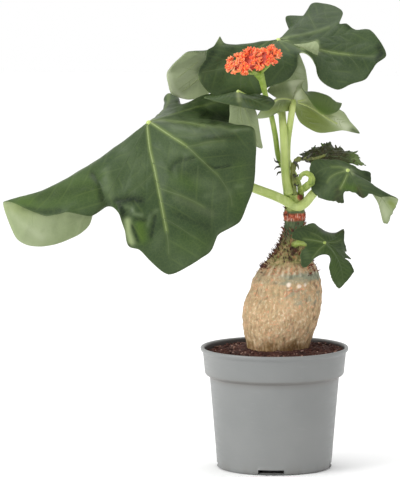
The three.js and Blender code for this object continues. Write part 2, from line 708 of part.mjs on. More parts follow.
// The soil fills the pot up to its heaped top, with a plain hole for the caudex's foot
function soilGeometry() {
  const random = seeded(11);
  const levels = POT_INSIDE.slice(2, -1).reverse().map(([r, z]) => [r - HOLE_GAP, z]);
  levels[0] = [levels[0][0] - HOLE_GAP, FLOOR + GAP];
  const rows = [...levels, ...SOIL_RINGS.map((r) => [r, null])];
  const vertices = [];
  rows.forEach(([r, z]) => {
    for (let j = 0; j < POT_SIDES; j += 1) {
      const angle = (j / POT_SIDES) * 2 * Math.PI;
      const [x, y] = [r * Math.cos(angle), r * Math.sin(angle)];
      vertices.push(new THREE.Vector3(x, y, z ?? soilTop(x, y)));
    }
  });
  const low = vertices.length;
  vertices.push(new THREE.Vector3(0, 0, FLOOR + GAP), new THREE.Vector3(0, 0, SOIL_AT_PLANT));
  const triangles = [];
  for (let j = 0; j < POT_SIDES; j += 1) {
    const next = (j + 1) % POT_SIDES;
    for (let i = 0; i < rows.length - 1; i += 1) {
      const a = i * POT_SIDES + j;
      const b = i * POT_SIDES + next;
      triangles.push([a, b, b + POT_SIDES], [a, b + POT_SIDES, a + POT_SIDES]);
    }
    const last = (rows.length - 1) * POT_SIDES;
    triangles.push([low, next, j], [low + 1, last + j, last + next]);
  }
  let soil = solidOf(geometryFrom(vertices, triangles));
  for (let i = 0; i < CRUMB_COUNT; i += 1) {
    const angle = random() * 2 * Math.PI;
    const r = 31 + 21 * Math.sqrt(random());
    const [x, y] = [r * Math.cos(angle), r * Math.sin(angle)];
    const crumb = new THREE.IcosahedronGeometry(1.2 + 1.3 * random(), 0);
    crumb.rotateX(random() * 3);
    crumb.scale(1.2, 1, 0.8);
    crumb.translate(x, y, soilTop(x, y) + 0.1);
    soil = soil.add(solidOf(crumb));
  }
  return geometryOf(soil.subtract(solidOf(trunkGeometry(HOLE_GAP))));
}

// A tube's steps, two for each stretch between its points
function stepsFor(points) {
  return 2 * (points.length - 1);
}

// A stalk's points with its end at the leaf's foot
function stalkPoints(stalk) {
  return [...stalk.points, LEAVES[stalk.leaf].foot].map((p) => at(...p));
}

// A stalk as a solid
function stalkSolid(stalk) {
  const points = stalkPoints(stalk);
  return solidOf(stalkGeometry(points, stalk.radii, STALK_SIDES, stepsFor(points)));
}

// The flower head's place for a direction out of its middle
function headPoint(direction, grow) {
  const turn = new THREE.Euler(HEAD_PITCH, HEAD_ROLL, 0);
  const half = new THREE.Vector3(...HEAD_HALF).addScalar(grow);
  return direction.clone().multiply(half).applyEuler(turn).add(at(...HEAD_MIDDLE));
}

// The cushion under the florets
function headCore(grow) {
  const core = new THREE.SphereGeometry(1, 16, 8).rotateX(Math.PI / 2);
  const place = core.attributes.position;
  for (let v = 0; v < place.count; v += 1) {
    const p = headPoint(new THREE.Vector3().fromBufferAttribute(place, v), grow);
    place.setXYZ(v, p.x, p.y, p.z);
  }
  return solidOf(core);
}

// One floret: a five-pointed funnel with its narrow end in the cushion
function floret(direction, size, spin) {
  const vertices = [new THREE.Vector3(0, 0, -0.9 * size), new THREE.Vector3(0, 0, -FLORET_DEPTH)];
  const points = 10;
  for (let j = 0; j < points; j += 1) {
    const angle = (j / points) * 2 * Math.PI + spin;
    const tip = j % 2 === 0;
    const r = FLORET_RADIUS * size * (tip ? 1 : 0.5);
    vertices.push(new THREE.Vector3(r * Math.cos(angle), r * Math.sin(angle), tip ? 0.3 : -0.5));
  }
  const triangles = [];
  for (let j = 0; j < points; j += 1) {
    const a = 2 + j;
    const b = 2 + ((j + 1) % points);
    triangles.push([0, a, b], [1, b, a]);
  }
  const shape = geometryFrom(vertices, triangles);
  const half = new THREE.Vector3(...HEAD_HALF);
  const turn = new THREE.Euler(HEAD_PITCH, HEAD_ROLL, 0);
  const out = direction.clone().divide(half).normalize().applyEuler(turn);
  shape.applyQuaternion(new THREE.Quaternion().setFromUnitVectors(new THREE.Vector3(0, 0, 1), out));
  const place = headPoint(direction, 0).addScaledVector(out, FLORET_STAND);
  shape.translate(place.x, place.y, place.z);
  return solidOf(shape);
}

// The florets round the cushion's top and sides, in a sunflower's spiral
function flowerGeometry() {
  const random = seeded(5);
  let head = headCore(0);
  for (let i = 0; i < FLORET_COUNT; i += 1) {
    const rise = 1 - 1.18 * ((i + 0.5) / FLORET_COUNT);
    const angle = i * 2.39996;
    const flat = Math.sqrt(1 - rise * rise);
    const direction = new THREE.Vector3(flat * Math.cos(angle), flat * Math.sin(angle), rise);
    head = head.add(floret(direction, 0.85 + 0.3 * random(), random() * 6));
  }
  return geometryOf(head);
}

// The flower stalk with its branches to the head and the two dark bracts low on it
function peduncleGeometry() {
  const points = PEDUNCLE.points.map((p) => at(...p));
  let stalk = solidOf(stalkGeometry(points, PEDUNCLE.radii, STALK_SIDES, stepsFor(points)));
  const fork = points[points.length - 1];
  for (let i = 0; i < BRANCH_COUNT; i += 1) {
    const angle = (i / BRANCH_COUNT) * 2 * Math.PI + 0.4;
    const end = headPoint(new THREE.Vector3(0.72 * Math.cos(angle), 0.72 * Math.sin(angle), -0.5), 0);
    const middle = fork.clone().lerp(end, 0.5);
    middle.z -= 0.6;
    stalk = stalk.add(solidOf(stalkGeometry([fork, middle, end], [1.7, 1.3, 1.1], 5, 2)));
  }
  return geometryOf(stalk.subtract(headCore(GAP)));
}

// The caudex and stem with its bristles, and a socket for each stalk
function caudexGeometry() {
  const random = seeded(3);
  let trunk = solidOf(trunkGeometry(0));
  for (let i = 0; i < BRISTLE_COUNT; i += 1) {
    const z = THREE.MathUtils.lerp(BRISTLE_LOW, BRISTLE_HIGH, (i + 0.5) / BRISTLE_COUNT);
    const angle = i * 2.39996 + random();
    trunk = trunk.add(bristle(angle, z, 2.2 + 3 * random(), 0.2 + 0.7 * random()));
  }
  const roots = [
    ...Object.values(STALKS).map((stalk) => [stalkPoints(stalk), stalk.radii]),
    [SHOOT.points.map((p) => at(...p)), SHOOT.radii],
    [PEDUNCLE.points.map((p) => at(...p)), PEDUNCLE.radii],
  ];
  roots.forEach(([points, radii]) => {
    const socket = stalkGeometry(points, radii, STALK_SIDES, stepsFor(points), SOCKET_GAP);
    trunk = trunk.subtract(solidOf(socket));
  });
  return geometryOf(trunk);
}

const group = new THREE.Group();
group.add(mesh('pot', potGeometry(), 0x8f928f, 0.55));
group.add(mesh('soil', soilGeometry(), 0x4a2a24, 0.95));
group.add(mesh('caudex_and_stem', caudexGeometry(), 0xc9a97e, 0.85));
Object.entries(STALKS).forEach(([name, stalk]) => {
  const tube = stalkSolid(stalk);
  const clear = solidOf(bladeGeometry(LEAVES[stalk.leaf], BLADE_CLEAR));
  group.add(mesh(name, geometryOf(tube.subtract(clear)), 0xb4c072, 0.5));
});
Object.entries(LEAVES).forEach(([name, leaf]) => {
  group.add(mesh(name, bladeGeometry(leaf, BLADE_THICKNESS), 0x4f6b3c, 0.45));
});
const shootLine = SHOOT.points.map((p) => at(...p));
const shoot = stalkGeometry(shootLine, SHOOT.radii, STALK_SIDES, SHOOT_STEPS);
group.add(mesh('young_shoot', shoot, 0x9fb04a, 0.5));
group.add(mesh('flower_stalk', peduncleGeometry(), 0x8fae4c, 0.5));
group.add(mesh('flowers', flowerGeometry(), 0xf0603c, 0.6));

export default group;
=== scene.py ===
"""The looks of a potted buddha belly plant, Jatropha podagrica, around its solids.
Lengths are in millimetres up to where a mesh is made, and meshes are in metres."""

import math
import random

import bpy
import numpy as np
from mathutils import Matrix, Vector, noise


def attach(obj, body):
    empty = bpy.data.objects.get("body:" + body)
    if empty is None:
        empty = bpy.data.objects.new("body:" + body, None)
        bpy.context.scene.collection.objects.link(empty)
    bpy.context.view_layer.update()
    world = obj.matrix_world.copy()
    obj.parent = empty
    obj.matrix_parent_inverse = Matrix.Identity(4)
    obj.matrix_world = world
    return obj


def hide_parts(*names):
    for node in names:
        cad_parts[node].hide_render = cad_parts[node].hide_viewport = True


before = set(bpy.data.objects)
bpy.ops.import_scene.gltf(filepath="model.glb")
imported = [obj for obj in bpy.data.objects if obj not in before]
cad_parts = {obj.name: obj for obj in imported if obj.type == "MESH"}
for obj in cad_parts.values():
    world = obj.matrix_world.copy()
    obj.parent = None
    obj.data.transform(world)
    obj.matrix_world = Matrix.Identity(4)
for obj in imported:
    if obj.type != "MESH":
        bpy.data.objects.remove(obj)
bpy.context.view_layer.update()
MM = 0.001

# The camera stands before the plant and looks a little down
LOOK_AT = (-60.3, 0.0, 186.6)
CAMERA_DISTANCE = 5000.0
CAMERA_ELEVATION = math.radians(7.3)
camera_data = bpy.data.cameras.new("camera")
camera_data.sensor_width = 36.0
camera_data.lens = 467.0
camera_data.clip_end = 20.0
camera = bpy.data.objects.new("camera", camera_data)
camera.location = (
    LOOK_AT[0] * MM,
    -CAMERA_DISTANCE * math.cos(CAMERA_ELEVATION) * MM,
    (LOOK_AT[2] + CAMERA_DISTANCE * math.sin(CAMERA_ELEVATION)) * MM,
)
camera.rotation_euler = (math.pi / 2 - CAMERA_ELEVATION, 0.0, 0.0)
bpy.context.scene.collection.objects.link(camera)
bpy.context.scene.camera = camera

# The eye that the plant's points are read from, as in the solids
EYE = np.array([-60.0, -4960.0, 822.0])

# The turn from one scale or floret to the next
GOLDEN_TURN = 2.39996

# How wide the rings of a tube's round end are, from its tip on
END_SHARES = (0.05, 0.55, 0.86)

# Sizes that the solids give
RIM_RADIUS = 60.0
POT_HEIGHT = 98.5
BAND_FOOT = 76.0
BAND_RADIUS = 55.8
BODY_TOP_RADIUS = 52.4
FOOT_RADIUS = 46.4
WALL = 1.5
FLOOR = 1.8
DRAIN_COUNT = 4
DRAIN_WIDTH = 21.0
DRAIN_LOW = 1.2
DRAIN_HIGH = 4.4
DRAIN_TURN = -0.07
SOIL_AT_WALL = 94.6
SOIL_AT_PLANT = 98.2
SOIL_TILT = 0.02
SOIL_LUMP = 0.5
TRUNK_ROWS = [
    (52, 1, 7), (58, 1, 12), (70, 1.5, 18), (84, 2, 22.5), (94, 2.4, 24.6), (101, 3.1, 25.7),
    (108, 3.3, 27.6), (120, 4.8, 30.4), (130, 6, 31.4), (138, 7.6, 30.6), (146, 9.2, 28.8),
    (153, 9.8, 27.2), (161, 11, 23.8), (167, 11.8, 19.6), (173, 12.8, 15.2), (179, 13.8, 11.8),
    (186, 15, 9.6), (194, 15.8, 8.4), (202, 16, 8.1), (206, 16, 8.6), (210, 16, 8.2), (221, 16, 7.8),
]
TRUNK_TOP = 223.0
EASE_PASSES = 8
EASE_SHARE = 0.6

# Half a blade's thickness, how many rows a corner's tip takes on each side, the reach of the tint and
# of the valley beside a main vein, and the second veins' gap, a share of the blade's reach, and lean
BLADE_HALF = 0.28
TIP_ROWS = 9
VEIN_REACH = 1.5
VALLEY_REACH = 3.0
VEIN_GAP = 0.16
VEIN_LEAN = 0.75

# Half a step along the rows and the columns of a sheet
HALF_STEPS = np.array([[0.5, 0.0], [0.0, 0.5]])

# Crumbs and fibres of the soil, scales of the neck and of the rest of the stem, florets of the head
CRUMB_COUNT = 620
FIBRE_COUNT = 46
SCALE_COUNT = 420
SPARSE_COUNT = 90
FLORET_COUNT = 98

# The leaves as in the solids: the foot and the rays round it, each point across, up and depth.
# ribs are the rays that main veins follow, each with its strength, and tips the rays where the
# outline has a corner, each with how far that stands out. rings and edge_step are the solid's,
# finer is how many parts each of its steps gets, round the foot and away from it.
LEAVES = {
    "leaf_left": {
        "foot": [-102, 281, -20],
        "tips": [(10, 1.5), (8, -0.8), (12, -0.8), (14, 1.2), (6, 1.4)],
        "edge_step": 12,
        "rings": 6,
        "finer": (8, 12),
        "ribs": [
            (0, 0.1), (4.4, 0.06), (7.3, 0.0), (10, 0.0), (14.6, 0.0), (17.8, 0.0), (23, 0.5), (27, 0.5),
            (32.6, 0.4),
        ],
        "rays": [
            [[-124, 265.5, -22], [-158, 241.5, -24], [-219, 216.4, -12]],
            [[-150, 241, -32], [-201, 211, -30]], [[-146, 236, -40], [-185, 205, -44]],
            [[-138, 238, -44], [-168, 208, -50]], [[-130, 243, -46], [-148, 205, -52]],
            [[-118, 247, -44], [-134, 212.8, -44]],
            [[-112, 246, -50], [-124, 221, -53], [-125.5, 208, -56]],
            [[-110, 240, -54], [-118, 210, -56], [-121.3, 194, -58]],
            [[-106, 232, -57], [-113, 203, -58], [-118.5, 180, -57]], [[-103, 232, -58], [-109, 177, -56]],
            [[-97, 225, -60], [-86, 158.6, -56]], [[-88, 226, -62], [-60, 170, -60]],
            [[-83, 232, -62], [-51, 176, -58]], [[-79, 238, -62], [-46, 189, -54]],
            [[-70, 242, -62], [-29, 201, -54]], [[-62, 252, -58], [-18, 226, -46]],
            [[-58, 263, -52], [-15.5, 250, -38]], [[-58, 273, -42], [-16.5, 275, -30]],
            [[-62, 280.5, -26], [-32, 279.5, -18]], [[-66, 282, -16], [-45, 282, -11]],
            [[-69, 284, -8], [-53, 283.5, -4]], [[-69, 286, 3], [-53, 283, 6]],
            [[-67, 288, 11], [-35, 280.5, 26]], [[-74, 293, 12], [-34, 303, 36]],
            [[-80, 290, 22], [-60, 302, 42]], [[-86, 288, 22], [-74.5, 295, 46]],
            [[-89, 291, 26], [-78, 301, 56]], [[-91, 291, 26], [-85.5, 304.5, 58]],
            [[-93, 290, 24], [-89, 299.5, 56]], [[-97, 284, 14], [-84, 286.5, 44]],
            [[-108, 277.5, 6], [-118, 262, 40]], [[-120, 263.5, 4], [-139, 226, 22]],
            [[-132, 247.5, 2], [-151, 197, 12]], [[-140, 239.5, 0], [-168, 185, 6]],
            [[-148, 236.5, -4], [-190, 180, 0]], [[-150, 241.5, -12], [-208, 186, -6]],
        ],
    },
    "leaf_top": {
        "foot": [2.7, 348, 14],
        "tips": [(18, 1.2), (20, 0.9), (22, 0.9), (24, 0.8), (25, -0.9), (26, -0.7), (28, 1.2), (15, 0.9)],
        "edge_step": 11,
        "rings": 6,
        "finer": (7, 10),
        "ribs": [
            (0, 0.06), (3.2, 0.06), (7, 0.06), (14, 0.04), (17.4, 0.0), (20.6, 0.04), (25, 0.08), (31, 0.2),
            (36, 0.2), (39.6, 0.1),
        ],
        "rays": [
            [[-28, 342, 2], [-62, 322, -6]], [[-26, 338, -1], [-59, 312, -7]],
            [[-22, 334, -3], [-50, 303, -5]], [[-16, 332, -5], [-30, 303, -6]],
            [[-10, 332, -7], [-13, 303, -7]], [[-5, 332, -8], [-6, 309, -8]],
            [[0, 332, -8], [0, 311.5, -8]], [[8, 332, -7], [11, 316, -7]], [[11, 337, -4], [18, 326, -7]],
            [[11.5, 340, -1], [18.5, 333.5, -5]], [[13, 342, 2], [21.5, 338, -5]],
            [[15, 345, 6], [25, 343, 3], [29.5, 334, -10]], [[17, 344, 6], [30, 340, 2], [33, 327, -12]],
            [[20, 343, 7], [38, 337, 4], [37, 315, -13]], [[27, 341.5, 7], [48, 328, 0], [50, 308, -17]],
            [[42, 336, 3], [62, 313, -14]], [[43, 337, 4], [73, 316, -12]], [[45, 338, 5], [82, 329, -6]],
            [[46, 341, 7], [88.5, 335.6, -2]], [[45, 345, 10], [84.5, 346, 6]],
            [[43, 348, 13], [75.5, 355.5, 13]], [[40, 350, 15], [64.5, 355.8, 16]],
            [[38, 352, 18], [57, 360.5, 19]], [[32, 353, 20], [51.5, 361, 22]],
            [[33, 360, 28], [54, 369, 36]], [[28, 364, 34], [47, 376, 50]],
            [[22, 364, 36], [29.5, 377, 56]], [[16, 360, 32], [24, 367.5, 48]],
            [[11, 357, 30], [9.5, 366, 46]], [[7, 352, 26], [12, 355, 40]],
            [[4, 345, 30], [13, 335, 45], [25, 322, 52]], [[4, 345.5, 33], [12, 330, 49], [25, 302, 56]],
            [[1, 345, 34], [4, 329, 51], [8, 304, 60]], [[-6, 342, 34], [-10, 330, 56]],
            [[-28, 338, 44], [-56, 303, 56]], [[-36, 336, 44], [-70, 299.6, 54]],
            [[-40, 336, 40], [-83, 304, 48]], [[-40, 338, 34], [-87, 321, 40]],
            [[-38, 341, 30], [-82, 328, 32]], [[-36, 342.5, 24], [-70, 338.5, 24]],
            [[-30, 343, 18], [-60, 338, 15]], [[-22, 343.5, 13], [-50, 341, 11]],
            [[-22, 345, 10], [-44.5, 350.5, 6]], [[-24, 344.5, 4], [-49, 343, 1]],
            [[-26, 344, 2], [-55, 339, -1]], [[-27, 343, 2], [-56, 332, -3]],
        ],
    },
    "leaf_right_upper": {
        "foot": [15, 298, 5],
        "edge_step": 8,
        "rings": 6,
        "ease": 2,
        "finer": (6, 6),
        "ribs": [(1.4, 0.0), (5.4, 0.0), (7.6, 0.0), (12, 0.0), (16, 0.0), (18.4, 0.0)],
        "rays": [
            [[4, 295, -9], [-5, 285, -13]], [[2, 296, -10], [-14.5, 284.5, -14]],
            [[2, 297, -10], [-11, 291, -17]], [[3, 298, -8], [-6, 297.5, -15]],
            [[7, 299.5, -1], [1, 300, -5]], [[7, 302, 3], [-6, 307, 4]], [[8, 304.5, 6], [-0.5, 312.5, 9]],
            [[13, 306, 10], [15, 315.5, 14]], [[18, 307, 12], [24, 315.5, 15]],
            [[16, 303.5, 5.5], [19, 307, 5.5], [22, 309, 4]], [[24, 304.5, 9], [35, 307, 9], [37, 288, -6]],
            [[26, 303.5, 10], [43, 305, 9], [50, 289.5, -4]],
            [[26.5, 302, 12], [46, 300.5, 11], [54, 296.5, 6]],
            [[24, 298.5, 12], [36, 297, 15], [51, 292, 14]], [[33, 293, 15], [56, 289, 16]],
            [[33, 292, 15.5], [61, 281.5, 17]], [[32, 291, 16], [52, 283, 16], [68.5, 272, 18]],
            [[33, 286, 14], [55, 274.5, 16]], [[28, 284, 12], [36, 272.5, 12]],
            [[21, 288, 9], [20.5, 281, 8]], [[16.5, 294, 6], [15.5, 291, 4]],
            [[13, 294, 1], [10.5, 290, -2]], [[9, 294, -4], [2, 289, -12]],
        ],
    },
    "leaf_right_middle": {
        "foot": [59.5, 242, -12],
        "ragged": 0.8,
        "edge_step": 7,
        "rings": 5,
        "finer": (6, 6),
        "ribs": [(0, 0.0), (1.3, 0.0), (4, 0.0), (7, 0.15), (12, 0.15), (21, 0.15)],
        "rays": [
            [[44, 244, -12], [28, 243, -11]], [[44, 237, -15], [30, 226, -13]],
            [[47, 232, -17], [39, 218.5, -18]], [[51, 229, -19], [49, 216.5, -20]],
            [[54.5, 229, -17], [55.5, 215.5, -18]], [[57, 232, -16], [54.5, 224.5, -14]],
            [[61, 233, -17], [64, 224, -18]], [[66, 231, -18], [71.5, 219.5, -20]],
            [[69, 231, -17], [77, 223, -16]], [[75, 229, -14], [85, 220.5, -13]],
            [[69, 234.5, -12], [86, 230, -10], [91.5, 221, -9]],
            [[70, 235, -8], [88, 230.5, -5], [99.5, 218, -3]],
            [[70, 234.5, -5], [88, 225, 0], [95, 207, 0]], [[70, 234.5, -4], [87, 223, 3], [91.5, 199, 1]],
            [[70, 234.5, -3], [86, 223, 4], [87.5, 200, 3]],
            [[69, 236, -2.5], [83.5, 225, 6], [87, 207, 6]],
            [[67, 237.5, -3], [80.5, 228, 6], [86, 216, 7]],
            [[65, 239.5, -4.5], [74, 232, 3], [80.5, 223, 8]],
            [[65, 240.5, -5], [71, 236.5, 0], [77.5, 232, 4]], [[68, 241, -3], [77, 240.5, 2]],
            [[65, 243, -5], [70, 242, -1]], [[61, 245, -8], [62, 247, -4]], [[55, 247, -8], [52, 250, -3]],
            [[47, 247, -9], [40, 250.5, -5]], [[44, 247, -11], [31, 250, -8]],
        ],
    },
    "leaf_low": {
        "foot": [41, 183, -30],
        "ragged": 0.7,
        "edge_step": 7,
        "rings": 5,
        "finer": (6, 6),
        "ribs": [(0, 0.0), (4.5, 0.0), (11.6, 0.15), (16, 0.1), (20, 0.1), (24.4, 0.0)],
        "rays": [
            [[30, 186, -32], [14, 187, -34]], [[32, 184, -32], [24, 184, -33]],
            [[32, 181, -33], [26, 181, -34]], [[31, 179, -34], [21, 175, -36]],
            [[31, 176, -35], [22, 163.5, -38]], [[33, 176, -36], [26, 163.5, -38]],
            [[36, 177, -35], [33, 171, -35]], [[40, 178, -33], [40, 174.5, -32]],
            [[44, 178, -33], [46, 172.5, -32]], [[49, 172, -36], [44, 163, -38]],
            [[51, 168, -37], [47, 152, -40]], [[53, 167, -37], [52, 146, -40]],
            [[55, 169, -37], [58, 151.5, -39]], [[56, 172, -35], [64, 160, -36]],
            [[52, 175, -33], [60, 168, -32]], [[51, 176.5, -31], [57, 170.5, -29]],
            [[50, 178, -30], [62.5, 170, -25]], [[50, 179, -29], [57.5, 175, -24]],
            [[50, 180, -27], [58.5, 177, -20]], [[49, 183, -25], [56.5, 185, -17]],
            [[49, 186, -23], [56, 194, -12]], [[45, 187, -23], [50, 191, -12]],
            [[41, 188, -24], [43, 191.5, -14]], [[37, 190, -26], [36, 196, -16]],
            [[33, 191, -27], [31, 199, -18]], [[29, 191, -29], [24, 197, -24]],
            [[27, 190, -31], [16, 193, -30]],
        ],
    },
    "leaf_middle": {
        "foot": [-30, 306, -16],
        "edge_step": 9,
        "rings": 5,
        "finer": (7, 7),
        "ribs": [(0, 0.2), (4.4, 0.2), (10.4, 0.3), (12.4, 0.15)],
        "rays": [
            [[-43, 305, -18], [-57, 301, -16]], [[-38, 302, -21], [-44, 297, -22]],
            [[-33, 301, -22], [-30, 294, -24]], [[-24, 299, -26], [-18, 291.5, -28]],
            [[-18, 298, -27], [-6, 290.5, -30]], [[-16, 300, -26], [0, 297, -28]],
            [[-17, 303, -22], [-4, 301, -22]], [[-22, 305, -17], [-14, 304, -18]],
            [[-25, 305, -14], [-21, 303, -11]], [[-24, 298, -7], [-15, 289, -6]],
            [[-23, 292, -7], [-10, 260, -5]], [[-25, 292, -7], [-16, 262, -6]],
            [[-28, 296, -6], [-28, 276, -6]], [[-31, 298, -7], [-36.5, 279, -6]],
            [[-33, 303, -8], [-37, 299.5, -6]], [[-42, 304.5, -13], [-52, 303, -12]],
        ],
    },
    "leaf_shrivelled": {
        "foot": [40, 254, 10],
        "edge_step": 5,
        "rings": 5,
        "crinkle": 0.9,
        "ragged": 3.4,
        "frills": 46,
        "finer": (5, 5),
        "ribs": [(0, 0.1), (6, 0.2), (11, 0.1), (14.6, 0.1)],
        "rays": [
            [[32, 254, 8], [21, 254, 8]], [[33, 251, 8], [26, 250, 6]], [[36, 250, 7], [34, 247, 5]],
            [[42, 250, 7], [44, 247, 5]], [[50, 250, 8], [54, 247, 6]], [[56, 251, 9], [62, 247, 7]],
            [[60, 252, 8], [73, 246, 6]], [[58, 255, 11], [68, 251, 12]], [[52, 256, 13], [66, 258, 18]],
            [[49, 257, 15], [56, 257, 20]], [[47, 259, 16], [53, 261, 24]],
            [[44, 258, 16], [48.5, 259, 24]], [[43, 260, 16], [46, 264, 24]],
            [[41, 260, 16], [41, 264.5, 24]], [[37, 259, 14], [37, 261.5, 22]],
            [[34, 257, 12], [30, 260, 18]],
        ],
    },
}

# How the plane of the pot's axis is seen in the photograph: millimetres to a pixel, left and top
PIXEL_WIDE = 0.808
PIXEL_TALL = 0.8146
PIXEL_LEFT = -221.9
PIXEL_TOP = 380.9

# Veins that stand out: a strength, a half width and a line of pixels from the stalk outwards
VEINS = {
    "leaf_left": [
        (0.95, 0.58, (147, 124), (150, 150), (154, 167), (158, 187), (162.5, 210), (166.5, 231)),
        (0.22, 0.4, (166.5, 231), (168, 240), (168.6, 254)),
        (0.95, 0.52, (151, 123), (167.5, 134), (187.5, 147)),
        (0.36, 0.36, (187.5, 147), (205, 163.5), (218, 175.5)),
        (0.2, 0.35, (218, 175.5), (226, 187), (231, 197), (232, 206)),
        (0.55, 0.45, (151, 120.6), (170, 121), (188, 123), (205, 126.5)),
        (0.2, 0.4, (205, 126.5), (220, 127.5), (233, 131)),
        (0.24, 0.35, (188, 147), (196, 145.4), (207, 142.6), (224, 141)),
        (0.26, 0.35, (158.6, 188), (170, 192), (181, 195.6), (192.5, 200.6), (204, 207)),
        (0.12, 0.3, (155, 172), (140, 186), (130, 193)), (0.14, 0.3, (173, 137.5), (190, 136), (206, 134)),
        (0.12, 0.3, (164, 218), (178, 226), (192, 236)),
    ],
    "leaf_top": [
        (0.75, 0.42, (315.5, 49.5), (331, 53), (350, 55.8)),
        (0.3, 0.35, (350, 55.8), (362, 56.6), (373, 57)), (0.08, 0.3, (345.5, 54), (346, 47), (351, 38.6)),
        (0.07, 0.3, (355, 55.6), (356, 48.6), (360, 41.4)),
        (0.08, 0.3, (345, 56), (351, 60), (358.6, 68.6)), (0.07, 0.3, (328, 53), (334, 62), (338, 73)),
        (0.3, 0.35, (277, 39.5), (290, 38.4), (311, 34), (328, 28.8)),
        (0.18, 0.3, (308, 16), (312, 23.5), (315.6, 30)), (0.1, 0.3, (324, 12), (326, 20)),
        (0.4, 0.4, (270, 41.4), (264, 45), (259, 49)), (0.4, 0.35, (273.4, 41.5), (273.8, 46)),
        (0.34, 0.35, (276, 41.4), (282, 45), (288, 51)), (0.3, 0.4, (278, 40.4), (288, 43), (299, 47.6)),
        (0.16, 0.3, (202, 73), (214, 70.8), (227, 68.6)), (0.14, 0.3, (241.4, 73), (240.4, 88)),
        (0.3, 0.3, (198, 62), (188, 70), (178, 78)), (0.3, 0.3, (200, 78), (190, 86), (182, 92)),
    ],
    "leaf_right_upper": [
        (1.0, 1.1, (293, 101.4), (284.5, 99.3), (277, 100.4), (271, 105)),
        (1.0, 1.0, (297, 101.6), (305.4, 100)),
        (1.0, 1.0, (297.5, 103), (308.6, 107), (318.6, 113), (328.6, 119.6), (337, 124)),
    ],
    "leaf_right_middle": [
        (0.5, 0.35, (345.5, 168.8), (340, 167.2), (331, 167.2)),
        (0.5, 0.35, (345.5, 171), (336, 173.8), (330, 177.5), (327, 182)),
        (0.7, 0.42, (347, 175), (343.8, 182), (340.4, 188.5)),
        (0.16, 0.3, (342, 176), (331, 186), (323, 194)),
        (0.16, 0.3, (331, 167.2), (322, 169.5), (315, 174)),
    ],
    "leaf_low": [
        (0.45, 0.3, (323.6, 242.4), (314, 240.4), (304, 239)),
        (0.35, 0.3, (324.6, 245), (318.8, 250), (312.5, 258)),
        (0.3, 0.3, (324, 240.4), (318, 236), (311, 233)),
        (0.3, 0.3, (328.6, 242.6), (335, 242.4), (341, 240)),
        (0.2, 0.3, (327.4, 245.4), (332.4, 250), (337, 258)),
    ],
    "leaf_middle": [
        (0.3, 0.35, (240.6, 103), (240.4, 113), (242, 123)),
    ],
}

